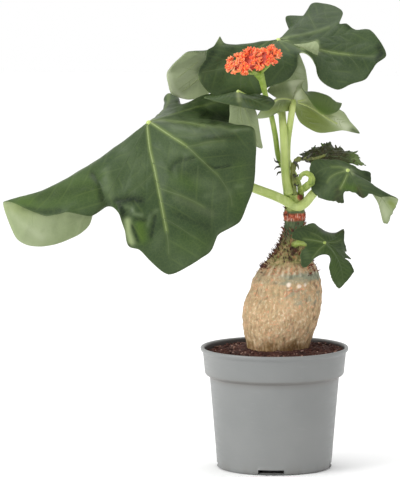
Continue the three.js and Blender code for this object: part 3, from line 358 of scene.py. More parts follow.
# Spots and strokes of the blades: painted highlights and sheen (light), darker tone with painted shade in
# creases
# and under lobes (dark), parts paler, more olive or browner than the rest, or lying deeper (groove):
# a strength, a half width in pixels and a line of pixels
MARKS = {
    "leaf_left": {
        "pale": [
            (0.9, 2.6, (146.6, 121.6), (149.4, 121)), (0.9, 3.4, (127.4, 221), (128, 232), (131.4, 242)),
            (0.15, 3.5, (8, 206), (20, 222), (42, 238)), (0.8, 2.6, (256.6, 126), (259, 146)),
        ],
        "light": [
            (1.0, 2.4, (94, 160), (123.4, 137.4), (144.4, 122)),
            (0.8, 2.0, (60, 179.4), (80, 170), (94, 160.6)), (0.6, 4, (106, 172), (110, 182), (112, 196)),
            (0.3, 9, (126, 152), (138, 168)), (0.7, 1.8, (125, 207), (132, 208), (135, 213.6)),
            (0.9, 1.7, (134, 213.8), (142, 215)), (0.6, 1.8, (157, 210), (150, 215.6), (147.6, 225)),
            (0.3, 5, (162, 234), (156, 246)), (0.4, 5, (174, 152), (189, 155)),
            (0.4, 5, (206, 147), (222, 145)), (0.45, 7, (198, 180), (213, 186)),
            (0.35, 4, (214, 200), (230, 192)), (0.4, 4, (206, 196), (218, 192)),
            (0.42, 4.5, (178, 199), (196, 207), (212, 214)), (0.7, 2.4, (236, 186.4), (241, 186)),
            (0.5, 6, (176, 129), (194, 134)), (0.65, 1.9, (202, 128), (220, 127.4), (233, 131), (249, 130)),
            (0.5, 4, (208, 106), (224, 102)), (0.35, 2, (208, 252), (218, 232), (232, 224)),
        ],
        "dark": [
            (0.5, 8, (40, 196), (70, 192), (94, 187)), (0.7, 3.6, (92, 174), (98, 184), (102.6, 200)),
            (1.0, 4, (117, 201.5), (129, 199), (141, 200.5)), (0.95, 3.4, (120, 206), (123.5, 214)),
            (0.7, 1.8, (136, 219), (145, 220)), (0.8, 2, (155, 216), (153.6, 226), (151.6, 236)),
            (0.8, 1.6, (132.4, 226), (138, 240.6)), (0.9, 1.4, (128, 246.6), (129, 245.6)),
            (0.62, 3, (171.4, 170), (174.6, 163.6), (182, 159.6), (193, 158.6)),
            (0.35, 9, (178, 168), (196, 172)),
            (0.75, 1.7, (207.5, 164.6), (215, 168), (222, 167.6), (230, 165)),
            (0.3, 7, (216, 156), (232, 158)), (0.4, 4, (176, 214), (206, 226)),
            (0.4, 3, (204, 139), (236, 137)), (0.95, 3.4, (204, 115.6), (208, 112.6), (213, 122)),
            (0.9, 6, (212, 115), (226, 118)), (0.55, 2.2, (184, 110.6), (196, 109.6), (206, 112)),
            (0.35, 5, (186, 104), (200, 101)), (0.55, 3.4, (24, 208), (44, 212.6), (60, 211)),
            (0.3, 3, (70, 216), (90, 216)), (0.3, 4, (160, 100), (184, 120)),
            (0.6, 1.6, (262.4, 146.6), (262.6, 148)),
        ],
        "olive": [
            (0.6, 15, (24, 202), (60, 192), (90, 186)), (0.75, 6, (140, 226), (142, 238)),
            (0.3, 8, (176, 178), (192, 184)), (0.2, 12, (184, 244), (203, 244)),
            (0.2, 8, (240, 165), (240, 212)), (0.5, 4.5, (8, 207), (16, 210)),
        ],
        "brown": [(0.12, 5, (178, 199), (196, 207), (212, 214))],
        "groove": [
            (1.2, 4, (117, 201.5), (129, 198), (141, 200.5)),
            (-1.0, 2.4, (134, 212), (142, 215), (150, 213)),
            (0.9, 2.6, (136, 220), (146, 220), (154, 222), (152, 236)),
            (1.3, 3.4, (94, 173), (100, 184), (104.6, 200)), (-0.8, 5, (108, 172), (112, 196)),
            (0.8, 3, (171.4, 170), (174.6, 163.6), (182, 159.6), (193, 158.6)),
            (0.6, 2.2, (207.5, 164.6), (215, 168), (222, 167.6), (230, 165)),
            (-0.7, 6, (198, 180), (213, 186)), (-0.7, 3, (202, 128), (220, 127.4), (233, 131), (249, 130)),
            (1.0, 4, (204, 115.6), (208, 112.6), (226, 118)),
        ],
    },
    "leaf_top": {
        "pale": [
            (0.7, 1.8, (255, 41), (264, 39.4), (274, 39.2)), (0.6, 2.2, (276, 40), (286, 40.6)),
            (0.9, 3.6, (303, 48), (311, 46.6), (315.4, 52)), (0.8, 2, (308, 45), (316, 42.6), (317.4, 47)),
            (0.5, 3.4, (218, 40), (221, 42.4)), (0.5, 3, (168, 71), (173, 90), (182, 98)),
            (0.2, 18, (184, 76)),
        ],
        "light": [
            (0.5, 1.8, (288, 38.8), (311, 34), (328, 28.6), (335, 24)), (0.5, 5, (290, 43), (298, 47)),
            (0.7, 1.2, (226, 43.4), (244, 42), (262, 41)), (0.12, 9, (352, 40), (364, 48)),
            (0.25, 8, (340, 74), (356, 74)), (0.12, 6, (326, 8), (336, 14)), (0.3, 7, (234, 80), (256, 78)),
            (0.7, 5, (299, 70), (303, 82), (301, 92)),
        ],
        "dark": [
            (0.4, 4, (296, 31), (314, 41)), (1.0, 3.2, (377, 60), (381, 54.6), (378, 48)),
            (0.6, 2, (366, 80), (373, 70), (378.6, 61)), (0.7, 2.2, (342, 23.6), (348.6, 28.6)),
            (0.3, 7, (330, 40), (342, 36)), (0.25, 22, (322, 14), (350, 62)),
            (0.3, 5, (290, 22), (298, 28)), (0.85, 5, (200, 71), (207, 62), (213, 53)),
            (0.45, 13, (207, 66), (216, 76)), (0.45, 9, (214, 64), (232, 50)),
            (0.5, 3, (296, 56), (296, 66), (290, 76)), (0.4, 5, (202, 82), (204, 90)),
            (0.2, 3, (186, 90), (196, 86), (205, 78)),
        ],
        "olive": [(0.3, 8, (216, 82), (250, 84))],
        "groove": [
            (-0.5, 2.4, (288, 38.8), (311, 34), (328, 28.6)), (0.8, 4, (206, 76), (220, 66), (236, 50)),
        ],
    },
    "leaf_right_upper": {
        "olive": [(1.0, 30, (312, 118)), (0.9, 8, (268, 108), (286, 105))],
        "dark": [
            (0.25, 8, (300, 118), (322, 126)), (0.45, 5, (270, 92), (286, 90)),
            (0.75, 5, (268, 106), (284, 103)), (0.9, 2.6, (352, 130), (360, 134.6)),
        ],
        "pale": [
            (0.6, 5, (336, 120), (346, 128)), (1.0, 4, (292, 84), (303, 82)),
            (0.6, 5, (292, 86), (298, 98)), (0.45, 1.6, (268, 85), (276, 85)),
            (0.18, 12, (318, 96), (334, 102)),
        ],
        "light": [(1.0, 6, (294, 84), (300, 90)), (1.0, 14, (312, 94), (338, 106))],
    },
    "leaf_middle": {
        "dark": [
            (0.6, 8, (246, 94), (276, 100)), (0.4, 16, (243, 114)), (0.4, 5, (249, 110), (250, 122)),
            (0.8, 1.3, (240.6, 103), (240.8, 107)),
        ],
        "pale": [(0.75, 2.2, (237.6, 89), (239, 101)), (0.6, 3, (258, 116), (266, 114))],
        "brown": [(0.22, 2, (237.6, 89), (239, 101))],
        "light": [(0.3, 4, (262, 92), (276, 94))],
    },
    "leaf_right_middle": {
        "pale": [(0.6, 2.4, (346.6, 170), (350, 171), (352, 173.6)), (0.25, 4, (380, 200), (386, 216))],
        "dark": [
            (0.25, 6, (318, 166), (316, 176)), (0.4, 2.4, (334, 199), (344, 203)),
            (0.85, 2, (358, 193), (363, 198.6)), (0.6, 2.2, (366, 174), (370, 176)),
            (0.4, 2.4, (384, 190), (387, 197)), (0.5, 1, (388.6, 219), (394, 210)),
        ],
        "light": [(0.3, 5, (334, 180), (326, 190)), (0.3, 5, (358, 178), (364, 184))],
        "brown": [(0.35, 4, (338, 190), (338, 201)), (0.6, 2.2, (358, 188), (362, 197))],
        "olive": [(0.55, 4, (345, 187), (356, 189)), (0.75, 3.6, (390, 202), (393, 206))],
    },
    "leaf_low": {
        "dark": [
            (0.45, 60, (326, 250)), (0.5, 8, (308, 246), (316, 246)), (0.45, 9, (308, 240), (334, 240)),
            (0.5, 10, (338, 262), (342, 276)), (0.7, 2, (344, 232), (345.6, 246), (350, 257)),
            (0.6, 1.6, (350, 262.6), (353, 272.6)),
        ],
        "olive": [(0.4, 14, (316, 244), (338, 270))],
        "pale": [(0.55, 1.4, (325, 243), (327, 243))],
        "light": [
            (0.85, 2.6, (310, 224.6), (318, 227)), (0.7, 3, (305, 251), (308, 257)),
            (0.75, 1.3, (320.6, 252.6), (313, 260), (309, 265)), (0.7, 1.6, (321, 233), (333, 236)),
            (0.6, 1.4, (342, 243), (345, 252)), (0.7, 2, (339.4, 284)), (0.3, 2.4, (340, 256), (344, 262)),
        ],
        "brown": [(0.45, 2, (322, 230), (334, 233), (344, 231))],
    },
    "leaf_shrivelled": {
        "brown": [(0.85, 14, (316, 155), (336, 156))],
        "olive": [
            (0.8, 4, (353, 158), (363, 165)), (1.0, 5, (352, 156), (361, 168)),
            (0.4, 4, (334, 152), (342, 160)),
        ],
        "pale": [(0.35, 3.6, (354, 158), (361, 166)), (0.4, 3, (357, 168), (361, 172))],
        "dark": [(0.4, 3, (324, 160), (340, 162))],
    },
}

# The stalks as in the solids, each from the stem to its leaf's foot, with the radius at each point
STALKS = {
    "stalk_left": {
        "leaf": "leaf_left",
        "points": [
            [14.5, 213.4, -7.6], [10, 216.6, -7], [1, 221, -6], [-17, 227.8, -8], [-50, 241, -8],
            [-85, 262, -10],
        ],
        "radii": [3.2, 3.9, 3.8, 3.7, 3.2, 2.7, 2.2],
    },
    "stalk_top": {
        "leaf": "leaf_top",
        "points": [
            [11.2, 223.8, -5.4], [9.8, 231, -3.4], [8.3, 246, -2], [7.3, 270, -1], [5.8, 290, 8],
            [5, 312, 18], [4, 332, 19],
        ],
        "radii": [3.9, 3.7, 3.4, 3.2, 3, 2.8, 2.5, 2],
    },
    "stalk_right_upper": {
        "leaf": "leaf_right_upper",
        "points": [
            [11.3, 220.6, 4.4], [10.4, 246, 5.5], [10.6, 265, 5], [12.4, 280, 2.5], [14, 291.4, -2.4],
        ],
        "radii": [2.4, 2.4, 2.4, 2.6, 2.7, 2.2],
    },
    "stalk_middle": {
        "leaf": "leaf_middle",
        "points": [
            [20.8, 220.6, 3.5], [19.5, 231, 13.5], [13, 245, 18], [8, 260, 18], [8, 273, 17],
            [6, 286, 15], [-6, 296, 4], [-14, 298, -9], [-22, 301.5, -14.5],
        ],
        "radii": [2.1, 2.1, 2.1, 2, 2, 2, 1.9, 1.8, 1.7, 1.6],
    },
    "stalk_right_middle": {
        "leaf": "leaf_right_middle",
        "points": [
            [14.6, 213, -8.4], [19.4, 212.4, -8], [24.6, 215.4, -6], [31, 223, -5], [41, 232, -5],
            [52, 239, -6],
        ],
        "radii": [2.8, 3.6, 3.7, 3.5, 3.1, 2.6, 1.6],
    },
    "stalk_low": {
        "leaf": "leaf_low",
        "points": [[15, 181, -6], [20, 183, -18], [30, 182, -24]],
        "radii": [2.5, 2.4, 2.2, 1.4],
    },
    "stalk_shrivelled": {
        "leaf": "leaf_shrivelled",
        "points": [
            [16.2, 220.6, -3.6], [15.4, 232, -3.6], [15, 244, -2.4], [18, 250.5, 0], [25, 251.5, 4],
            [33, 251.5, 7],
        ],
        "radii": [2.2, 2.3, 2.2, 1.9, 1.6, 1.4, 1.3],
    },
}

# The withered stalk's thorns, each with a half width, and the flower stalk's bracts
THORNS = [
    (1.1, [15.8, 249, -4], [18.6, 245.6, -6], [19.4, 242.6, -7]),
    (0.9, [22, 251, 1], [23.4, 254.4, 0], [22.6, 257, 0]),
    (0.9, [26, 252, 3], [28.6, 254.4, 2], [30.4, 256.4, 2]),
    (0.8, [24, 251, 2], [26, 249, 1], [29, 248.6, 1]),
    (0.9, [15, 238, -5], [17.6, 237.4, -8], [19.4, 239, -9]),
    (0.8, [15.4, 231, -5], [18, 229.6, -8], [20, 231, -8]),
]
BRACTS = [
    [(3.4, 248.6, 8), (0.6, 249.4, 6), (-0.8, 252.4, 5)],
    [(3.6, 245, 9), (1.4, 244.6, 6), (-0.6, 242.4, 4)],
    [(4.6, 240.6, 10), (2.6, 240, 8), (1.6, 237.4, 7)],
]

# The young shoot, the flower stalk and the flower head
SHOOT_POINTS = [
    [21, 220.6, -1.2], [21.6, 225.4, -5], [25.4, 229, -14], [29.6, 233, -20], [29.6, 237.2, -21],
    [25.4, 239.9, -21], [21.4, 238, -20], [20.4, 234.8, -19],
]
SHOOT_RADII = [2, 2.4, 2.8, 2.7, 2.3, 2, 1.6, 1.1]
PEDUNCLE_POINTS = [
    [16, 220.6, 5.6], [13.5, 230, 10.5], [8, 242, 11], [3.5, 251, 9], [0.3, 271, 4], [-2.9, 287, -2],
    [-5.3, 296, -7], [-7.5, 303, -14], [-10.5, 315.5, -26], [-13, 321, -32],
]
PEDUNCLE_RADII = [2, 2, 2, 2.1, 2.2, 2.1, 2, 2.1, 2.7, 4.2]
HEAD_MIDDLE = [-17, 331, -44]
HEAD_HALF = np.array([21.0, 18.0, 5.5])
HEAD_ROLL = -0.27
HEAD_PITCH = 0.32
BRANCH_COUNT = 6


def at(across, up, depth):
    """A point by how it looks: across and up in the plane of the pot's axis, and how far behind that."""
    in_plane = np.array([across, 0.0, up])
    return in_plane + (in_plane - EYE) * (depth / -EYE[1])


def length_of(vectors):
    return np.sqrt((vectors * vectors).sum(-1, keepdims=True))


def unit(vectors):
    return vectors / np.maximum(length_of(vectors), 1e-9)


def blend_in(low, high, value):
    """0 below low, 1 above high and smooth between them."""
    t = np.clip((value - low) / (high - low), 0.0, 1.0)
    return t * t * (3 - 2 * t)


def between(low, low_end, high, high_end, value):
    """1 from the end of the low blend to the start of the high one, and 0 outside them."""
    return blend_in(low, low_end, value) * (1 - blend_in(high, high_end, value))


def fading(away, width):
    """1 at no distance and almost 0 at twice the width."""
    return np.exp(-((away / width) ** 2))


def hermite(p, p_run, q, q_run, t):
    """A point between p and q on the line that runs through them as given."""
    return (
        (1 + 2 * t) * (1 - t) ** 2 * p + t * (1 - t) ** 2 * p_run
        + t * t * (3 - 2 * t) * q + t * t * (t - 1) * q_run
    )


# Meshes are gathered as points, faces and values at points

class Shape:
    def __init__(self):
        self.points = []
        self.faces = []
        self.slots = []
        self.values = []
        self.count = 0

    def add(self, points, faces, slot=0, **values):
        """Adds points and faces that count from 0, with a material slot and values at the points."""
        points = np.asarray(points, float).reshape(-1, 3)
        self.faces += [[v + self.count for v in face] for face in faces]
        self.slots += [slot] * len(faces)
        self.points.append(points)
        self.values.append({key: np.broadcast_to(value, len(points)) for key, value in values.items()})
        self.count += len(points)

    def piece(self, name, materials, node):
        """Makes the visible piece, which rides on the part's one body."""
        mesh = bpy.data.meshes.new(name)
        mesh.from_pydata((np.concatenate(self.points) * MM).tolist(), [], self.faces)
        for key in sorted({key for values in self.values for key in values}):
            parts = [v.get(key, np.zeros(len(p))) for v, p in zip(self.values, self.points)]
            attribute = mesh.attributes.new(key, "FLOAT", "POINT")
            attribute.data.foreach_set("value", np.concatenate(parts).astype(np.float32))
        for material in materials:
            mesh.materials.append(material)
        mesh.polygons.foreach_set("material_index", self.slots)
        mesh.polygons.foreach_set("use_smooth", [True] * len(self.faces))
        mesh.update()
        obj = bpy.data.objects.new(name, mesh)
        bpy.context.scene.collection.objects.link(obj)
        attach(obj, "root")
        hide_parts(node)


def grid_faces(rows, columns, closed=False, flip=False):
    """The faces of a grid of points, row after row. A closed grid's last column meets its first."""
    faces = []
    for i in range(rows - 1):
        for j in range(columns if closed else columns - 1):
            k = (j + 1) % columns
            face = [i * columns + j, i * columns + k, (i + 1) * columns + k, (i + 1) * columns + j]
            faces.append(face[::-1] if flip else face)
    return faces


# Smooth lines and tubes

def line_at(points, places):
    """Points on a centripetal Catmull-Rom line, for places from 0 to 1."""
    points = np.asarray(points, float)
    first = 2 * points[0] - points[1]
    last = 2 * points[-1] - points[-2]
    padded = np.concatenate([[first], points, [last]])
    found = []
    for place in places:
        along = place * (len(points) - 1)
        k = min(int(along), len(points) - 2)
        t = along - k
        p0, p1, p2, p3 = padded[k:k + 4]
        pairs = ((p0, p1), (p1, p2), (p2, p3))
        d0, d1, d2 = [max(math.sqrt(np.linalg.norm(b - a)), 1e-4) for a, b in pairs]
        m1 = ((p1 - p0) / d0 - (p2 - p0) / (d0 + d1) + (p2 - p1) / d1) * d1
        m2 = ((p2 - p1) / d1 - (p3 - p1) / (d1 + d2) + (p3 - p2) / d2) * d1
        found.append(hermite(p1, m1, p2, m2, t))
    return np.array(found)


def frames_along(line):
    """The way a line runs at each point, and two directions across it that don't twist."""
    tangents = unit(np.gradient(line, axis=0))
    side = np.cross(tangents[0], [0.0, 1.0, 0.0])
    if np.linalg.norm(side) < 0.1:
        side = np.cross(tangents[0], [1.0, 0.0, 0.0])
    sides = []
    for tangent in tangents:
        side = side - tangent * side.dot(tangent)
        side = side / np.linalg.norm(side)
        sides.append(side)
    sides = np.array(sides)
    return tangents, sides, np.cross(tangents, sides)


def round_end(ring, way, shares):
    """The rings of a tube's flattened round end, beyond its last ring."""
    centre, across, up, radius = ring
    flat = 0.6
    return [
        (centre + way * radius * flat * math.sqrt(1 - s * s), across, up, radius * s) for s in shares
    ]


def add_tube(shape, line, radii, sides, slot=0, ridges=0.0, **values):
    """A tube round a line, with a radius at each of its points and round ends."""
    line = np.asarray(line, float)
    tangents, across, up = frames_along(line)
    angles = np.arange(sides) / sides * math.tau
    swell = 1 + ridges * np.cos(angles * 5)
    body = list(zip(line, across, up, radii))
    rings = round_end(body[0], -tangents[0], END_SHARES) + body
    rings += round_end(body[-1], tangents[-1], END_SHARES[::-1])
    points = [
        c + r * (np.outer(np.cos(angles) * swell, a) + np.outer(np.sin(angles) * swell, b))
        for c, a, b, r in rings
    ]
    faces = grid_faces(len(rings), sides, closed=True)
    faces.append(list(range(sides))[::-1])
    faces.append([(len(rings) - 1) * sides + j for j in range(sides)])
    shape.add(np.concatenate(points), faces, slot, **values)


def radii_at(radii, places):
    return np.interp(np.asarray(places) * (len(radii) - 1), np.arange(len(radii)), radii)


# Materials

class Paint:
    """A material and short ways to make its colours, grain and relief."""

    def __init__(self, name):
        self.material = bpy.data.materials.new(name)
        self.material.use_nodes = True
        self.tree = self.material.node_tree
        self.shader = self.tree.nodes["Principled BSDF"]
        self.place = self.node("ShaderNodeTexCoord").outputs["Object"]

    def node(self, kind, **settings):
        node = self.tree.nodes.new(kind)
        for key, value in settings.items():
            setattr(node, key, value)
        return node

    def link(self, source, socket):
        self.tree.links.new(source, socket)

    def put(self, socket, value):
        if isinstance(value, bpy.types.NodeSocket):
            self.link(value, socket)
        else:
            socket.default_value = value

    def value(self, name):
        return self.node("ShaderNodeAttribute", attribute_name=name).outputs["Fac"]

    def maths(self, operation, a, b):
        node = self.node("ShaderNodeMath", operation=operation)
        for socket, value in zip(node.inputs, (a, b)):
            self.put(socket, value)
        return node.outputs[0]

    def noise(self, scale, detail=3.0, rough=0.5, stretch=None):
        node = self.node("ShaderNodeTexNoise")
        node.inputs["Scale"].default_value = scale
        node.inputs["Detail"].default_value = detail
        node.inputs["Roughness"].default_value = rough
        place = self.place
        if stretch:
            mapping = self.node("ShaderNodeMapping")
            mapping.inputs["Scale"].default_value = stretch
            self.link(place, mapping.inputs["Vector"])
            place = mapping.outputs[0]
        self.link(place, node.inputs["Vector"])
        return node.outputs["Fac"]

    def cells(self, scale, feature="F1"):
        node = self.node("ShaderNodeTexVoronoi", feature=feature)
        node.inputs["Scale"].default_value = scale
        self.link(self.place, node.inputs["Vector"])
        return node.outputs["Distance"]

    def ramp(self, value, stops):
        """Colours or greys along a value: stops are a place and a colour or a number."""
        node = self.node("ShaderNodeValToRGB")
        elements = node.color_ramp.elements
        while len(elements) < len(stops):
            elements.new(0.5)
        for element, (place, colour) in zip(elements, stops):
            element.position = place
            element.color = (*colour, 1.0) if isinstance(colour, tuple) else (colour, colour, colour, 1.0)
        self.put(node.inputs["Fac"], value)
        return node.outputs["Color"]

    def pair(self, value, low, high):
        """Two colours, blended by noise."""
        return self.ramp(value, [(0.3, low), (0.7, high)])

    def mix(self, share, a, b):
        node = self.node("ShaderNodeMix", data_type="RGBA")
        self.put(node.inputs["Factor"], share)
        for socket, colour in ((node.inputs["A"], a), (node.inputs["B"], b)):
            self.put(socket, (*colour, 1.0) if isinstance(colour, tuple) else colour)
        return node.outputs["Result"]

    def range(self, value, low, high, to_low=0.0, to_high=1.0):
        node = self.node("ShaderNodeMapRange", interpolation_type="SMOOTHSTEP")
        for socket, number in zip(node.inputs, (value, low, high, to_low, to_high)):
            self.put(socket, number)
        return node.outputs[0]

    def finish(self, colour, rough, height, bump, depth=0.0004, specular=0.5):
        """Sets the shader's colour, roughness, gloss and relief, with the relief's share and depth."""
        self.put(self.shader.inputs["Base Color"], colour)
        self.put(self.shader.inputs["Roughness"], rough)
        self.shader.inputs["Specular IOR Level"].default_value = specular
        node = self.node("ShaderNodeBump")
        node.inputs["Strength"].default_value = bump
        node.inputs["Distance"].default_value = depth
        self.link(height, node.inputs["Height"])
        self.link(node.outputs["Normal"], self.shader.inputs["Normal"])
        return self.material


def pot_material():
    p = Paint("pot_plastic")
    broad = p.noise(14.0, 3.0)
    fine = p.noise(900.0, 2.0)
    scuffs = p.noise(60.0, 5.0, 0.7, stretch=(1.0, 1.0, 5.0))
    grey = p.pair(broad, (0.176, 0.183, 0.180), (0.215, 0.220, 0.215))
    grey = p.mix(p.range(scuffs, 0.55, 0.8, 0.0, 0.25), grey, (0.29, 0.29, 0.28))
    # Darker towards the foot in uneven streaks, and painted shade in a strip just under the band's overhang
    darkened_grey = p.mix(p.range(p.value("dust"), 0.0, 1.0, 0.0, 0.5), grey, (0.12, 0.10, 0.085))
    # The inside of the wall is painted near black: painted shade under the rim, with a soil stain
    inner = p.mix(p.value("inner"), darkened_grey, (0.056, 0.050, 0.048))
    rough = p.range(scuffs, 0.3, 0.7, 0.36, 0.5)
    height = p.maths("ADD", fine, p.maths("MULTIPLY", scuffs, 1.5))
    return p.finish(inner, rough, height, bump=0.18, depth=0.00015, specular=0.45)


def soil_material():
    p = Paint("soil")
    broad = p.noise(90.0, 4.0, 0.65)
    fine = p.noise(700.0, 4.0, 0.7)
    crumbs = p.cells(520.0)
    dark = p.ramp(broad, [
        (0.3, (0.018, 0.006, 0.005)), (0.5, (0.050, 0.017, 0.012)), (0.72, (0.095, 0.035, 0.024)),
    ])
    dark = p.mix(p.range(fine, 0.55, 0.75, 0.0, 0.6), dark, (0.14, 0.060, 0.040))
    pale = p.pair(fine, (0.24, 0.12, 0.09), (0.50, 0.33, 0.26))
    colour = p.mix(p.value("pale"), dark, pale)
    height = p.maths("ADD", p.maths("MULTIPLY", crumbs, -1.0), fine)
    rough = p.range(fine, 0.3, 0.7, 0.75, 0.95)
    return p.finish(colour, rough, height, bump=0.8, depth=0.0008, specular=0.25)


def bark_material():
    """Tan skin with short upright fibres, greenish and pink flecks, grey-green rings, and the green stem."""
    p = Paint("bark")
    mottle = p.noise(60.0, 4.0, 0.6)
    fibre = p.noise(330.0, 3.0, 0.6, stretch=(1.0, 1.0, 0.40))
    dash = p.noise(430.0, 2.0, 0.55, stretch=(1.0, 1.0, 0.36))
    fine = p.noise(650.0, 4.0, 0.65)
    ring = p.noise(55.0, 4.0, 0.62, stretch=(0.45, 0.45, 2.6))
    fleck = p.noise(520.0, 2.0, 0.5, stretch=(1.0, 1.0, 0.8))
    tan = p.ramp(mottle, [
        (0.32, (0.375, 0.270, 0.140)), (0.5, (0.445, 0.325, 0.178)), (0.7, (0.50, 0.375, 0.22)),
    ])
    for grain, low, high, share, tint in (
        (fibre, 0.50, 0.70, 0.65, (0.62, 0.49, 0.31)),
        (fibre, 0.46, 0.32, 0.60, (0.27, 0.185, 0.085)),
        (dash, 0.56, 0.66, 0.55, (0.25, 0.225, 0.115)),
        (dash, 0.40, 0.31, 0.55, (0.55, 0.325, 0.20)),
        (fleck, 0.58, 0.66, 0.60, (0.72, 0.59, 0.41)),
        (fleck, 0.42, 0.35, 0.62, (0.34, 0.225, 0.125)),
    ):
        tan = p.mix(p.range(grain, low, high, 0.0, share), tan, tint)
    pink = p.maths("MULTIPLY", p.maths("ADD", p.value("pink"), 0.24), p.range(fine, 0.47, 0.58, 0.0, 1.0))
    tan = p.mix(pink, tan, (0.66, 0.30, 0.17))
    grey = p.ramp(mottle, [(0.35, (0.205, 0.222, 0.150)), (0.65, (0.300, 0.305, 0.215))])
    tan = p.mix(p.maths("MULTIPLY", p.value("grey"), p.range(ring, 0.38, 0.52, 0.25, 1.0)), tan, grey)
    stains = p.ramp(mottle, [(0.35, (0.090, 0.040, 0.015)), (0.6, (0.20, 0.115, 0.036))])
    stain = p.maths("MULTIPLY", p.value("stain"), p.range(dash, 0.36, 0.56, 0.6, 1.0))
    stained = p.mix(stain, tan, stains)
    neck = p.ramp(p.noise(230.0, 3.0, 0.6), [
        (0.34, (0.085, 0.050, 0.028)), (0.44, (0.19, 0.185, 0.070)), (0.56, (0.36, 0.29, 0.13)),
        (0.68, (0.52, 0.36, 0.21)),
    ])
    aged = p.mix(p.value("neck"), stained, neck)
    stem = p.pair(mottle, (0.055, 0.085, 0.042), (0.105, 0.145, 0.068))
    stem = p.mix(p.range(fibre, 0.5, 0.68, 0.0, 0.45), stem, (0.19, 0.23, 0.12))
    colour = p.mix(p.value("green"), aged, stem)
    young = p.ramp(fibre, [(0.35, (0.20, 0.27, 0.055)), (0.65, (0.38, 0.43, 0.15))])
    rust = p.ramp(fine, [
        (0.36, (0.20, 0.035, 0.018)), (0.52, (0.48, 0.085, 0.040)), (0.68, (0.66, 0.25, 0.14)),
    ])
    # dark is partly the bark's dark clefts and partly painted shade
    spots = {"light": young, "scar": rust, "dark": (0.070, 0.042, 0.028), "white": (0.80, 0.68, 0.56)}
    for key, tint in spots.items():
        colour = p.mix(p.value(key), colour, tint)
    height = p.maths("ADD", p.maths("MULTIPLY", fibre, 1.3), p.maths("MULTIPLY", fine, 0.7))
    rough = p.range(fine, 0.3, 0.7, 0.70, 0.90)
    return p.finish(colour, rough, height, bump=0.8, depth=0.0009, specular=0.25)


def bristle_material():
    p = Paint("bristle")
    fine = p.noise(420.0, 3.0)
    colour = p.pair(fine, (0.020, 0.010, 0.012), (0.075, 0.034, 0.030))
    for key, low, high in (
        ("red", (0.10, 0.018, 0.014), (0.32, 0.075, 0.045)),
        ("tan", (0.26, 0.17, 0.085), (0.50, 0.36, 0.20)),
        ("olive", (0.085, 0.095, 0.022), (0.20, 0.21, 0.06)),
    ):
        colour = p.mix(p.value(key), colour, p.pair(fine, low, high))
    rough = p.range(fine, 0.3, 0.7, 0.55, 0.75)
    return p.finish(colour, rough, fine, bump=0.4, depth=0.0002, specular=0.3)


def stalk_material(name, low, high, pale, patches):
    """Green stalk skin: light and dark along it, fine lengthwise streaks and a soft gloss."""
    p = Paint(name)
    broad = p.noise(patches, 3.0)
    fine = p.noise(900.0, 3.0)
    streak = p.noise(240.0, 3.0, 0.6, stretch=(1.0, 1.0, 0.12))
    green = p.pair(broad, low, high)
    green = p.mix(p.range(streak, 0.45, 0.7, 0.0, 0.55), green, pale)
    green = p.mix(p.range(p.value("root"), 0.0, 1.0, 0.0, 0.45), green, (0.25, 0.33, 0.09))
    height = p.maths("ADD", fine, streak)
    rough = p.range(fine, 0.3, 0.7, 0.36, 0.5)
    return p.finish(green, rough, height, bump=0.22, depth=0.0002, specular=0.45)


def leaf_material(name, dark, light, vein, rough, specular, marks):
    """A leaf's skin: mottled green with its marks, among them painted highlights and painted shade, paler
    along its veins, with a fine net between them.
    """
    p = Paint(name)
    broad = p.noise(22.0, 3.0, 0.55)
    patches = p.noise(75.0, 4.0, 0.6)
    fine = p.noise(600.0, 3.0, 0.6)
    net = p.cells(330.0, "DISTANCE_TO_EDGE")
    middle = tuple((a + b) / 2 for a, b in zip(dark, light))
    green = p.ramp(broad, [(0.34, dark), (0.5, middle), (0.66, light)])
    green = p.mix(p.range(patches, 0.48, 0.68, 0.0, 0.45), green, light)
    green = p.mix(p.range(patches, 0.46, 0.30, 0.0, 0.45), green, dark)
    for kind, colour in marks.items():
        green = p.mix(p.value(kind), green, colour)
    lines = p.maths("MULTIPLY", p.value("vein"), 0.45)
    second = p.maths("MULTIPLY", p.range(p.value("branch"), 0.25, 1.3, 0.07, 0.0), p.value("branched"))
    lines = p.maths("MAXIMUM", lines, second)
    lines = p.maths("MAXIMUM", lines, p.range(net, 0.0, 0.10, 0.05, 0.0))
    colour = p.mix(lines, green, vein)
    # Paler towards the edge: a painted highlight along the rim
    colour = p.mix(p.range(p.value("rim"), 0.3, 1.0, 0.10, 0.0), colour, vein)
    height = p.maths("ADD", p.maths("MULTIPLY", net, 0.6), p.maths("MULTIPLY", fine, 0.5))
    rough = p.range(patches, 0.3, 0.7, *rough)
    return p.finish(colour, rough, height, bump=0.2, depth=0.0004, specular=specular)


def vein_material(name, colour, pale, faint):
    p = Paint(name)
    fine = p.noise(500.0, 3.0)
    mixed = p.mix(p.value("faint"), p.pair(fine, colour, pale), faint)
    rough = p.range(fine, 0.3, 0.7, 0.45, 0.6)
    return p.finish(mixed, rough, fine, bump=0.2, depth=0.0002, specular=0.35)


def petal_material():
    p = Paint("petal")
    broad = p.noise(120.0, 3.0)
    fine = p.noise(900.0, 2.0)
    red = p.ramp(broad, [
        (0.3, (0.83, 0.055, 0.020)), (0.55, (0.95, 0.135, 0.045)), (0.75, (0.97, 0.27, 0.085)),
    ])
    red = p.mix(p.value("coral"), red, p.pair(broad, (0.86, 0.17, 0.09), (0.94, 0.30, 0.17)))
    colour = p.mix(p.range(p.value("heart"), 0.0, 1.0), red, (0.93, 0.34, 0.07))
    colour = p.mix(p.value("cream"), colour, (0.80, 0.50, 0.24))
    # deep darkens the core between the florets: painted shade in the head's depths
    colour = p.mix(p.value("deep"), colour, (0.40, 0.034, 0.014))
    rough = p.range(fine, 0.3, 0.7, 0.42, 0.6)
    return p.finish(colour, rough, fine, bump=0.25, depth=0.0002, specular=0.35)


# The pot

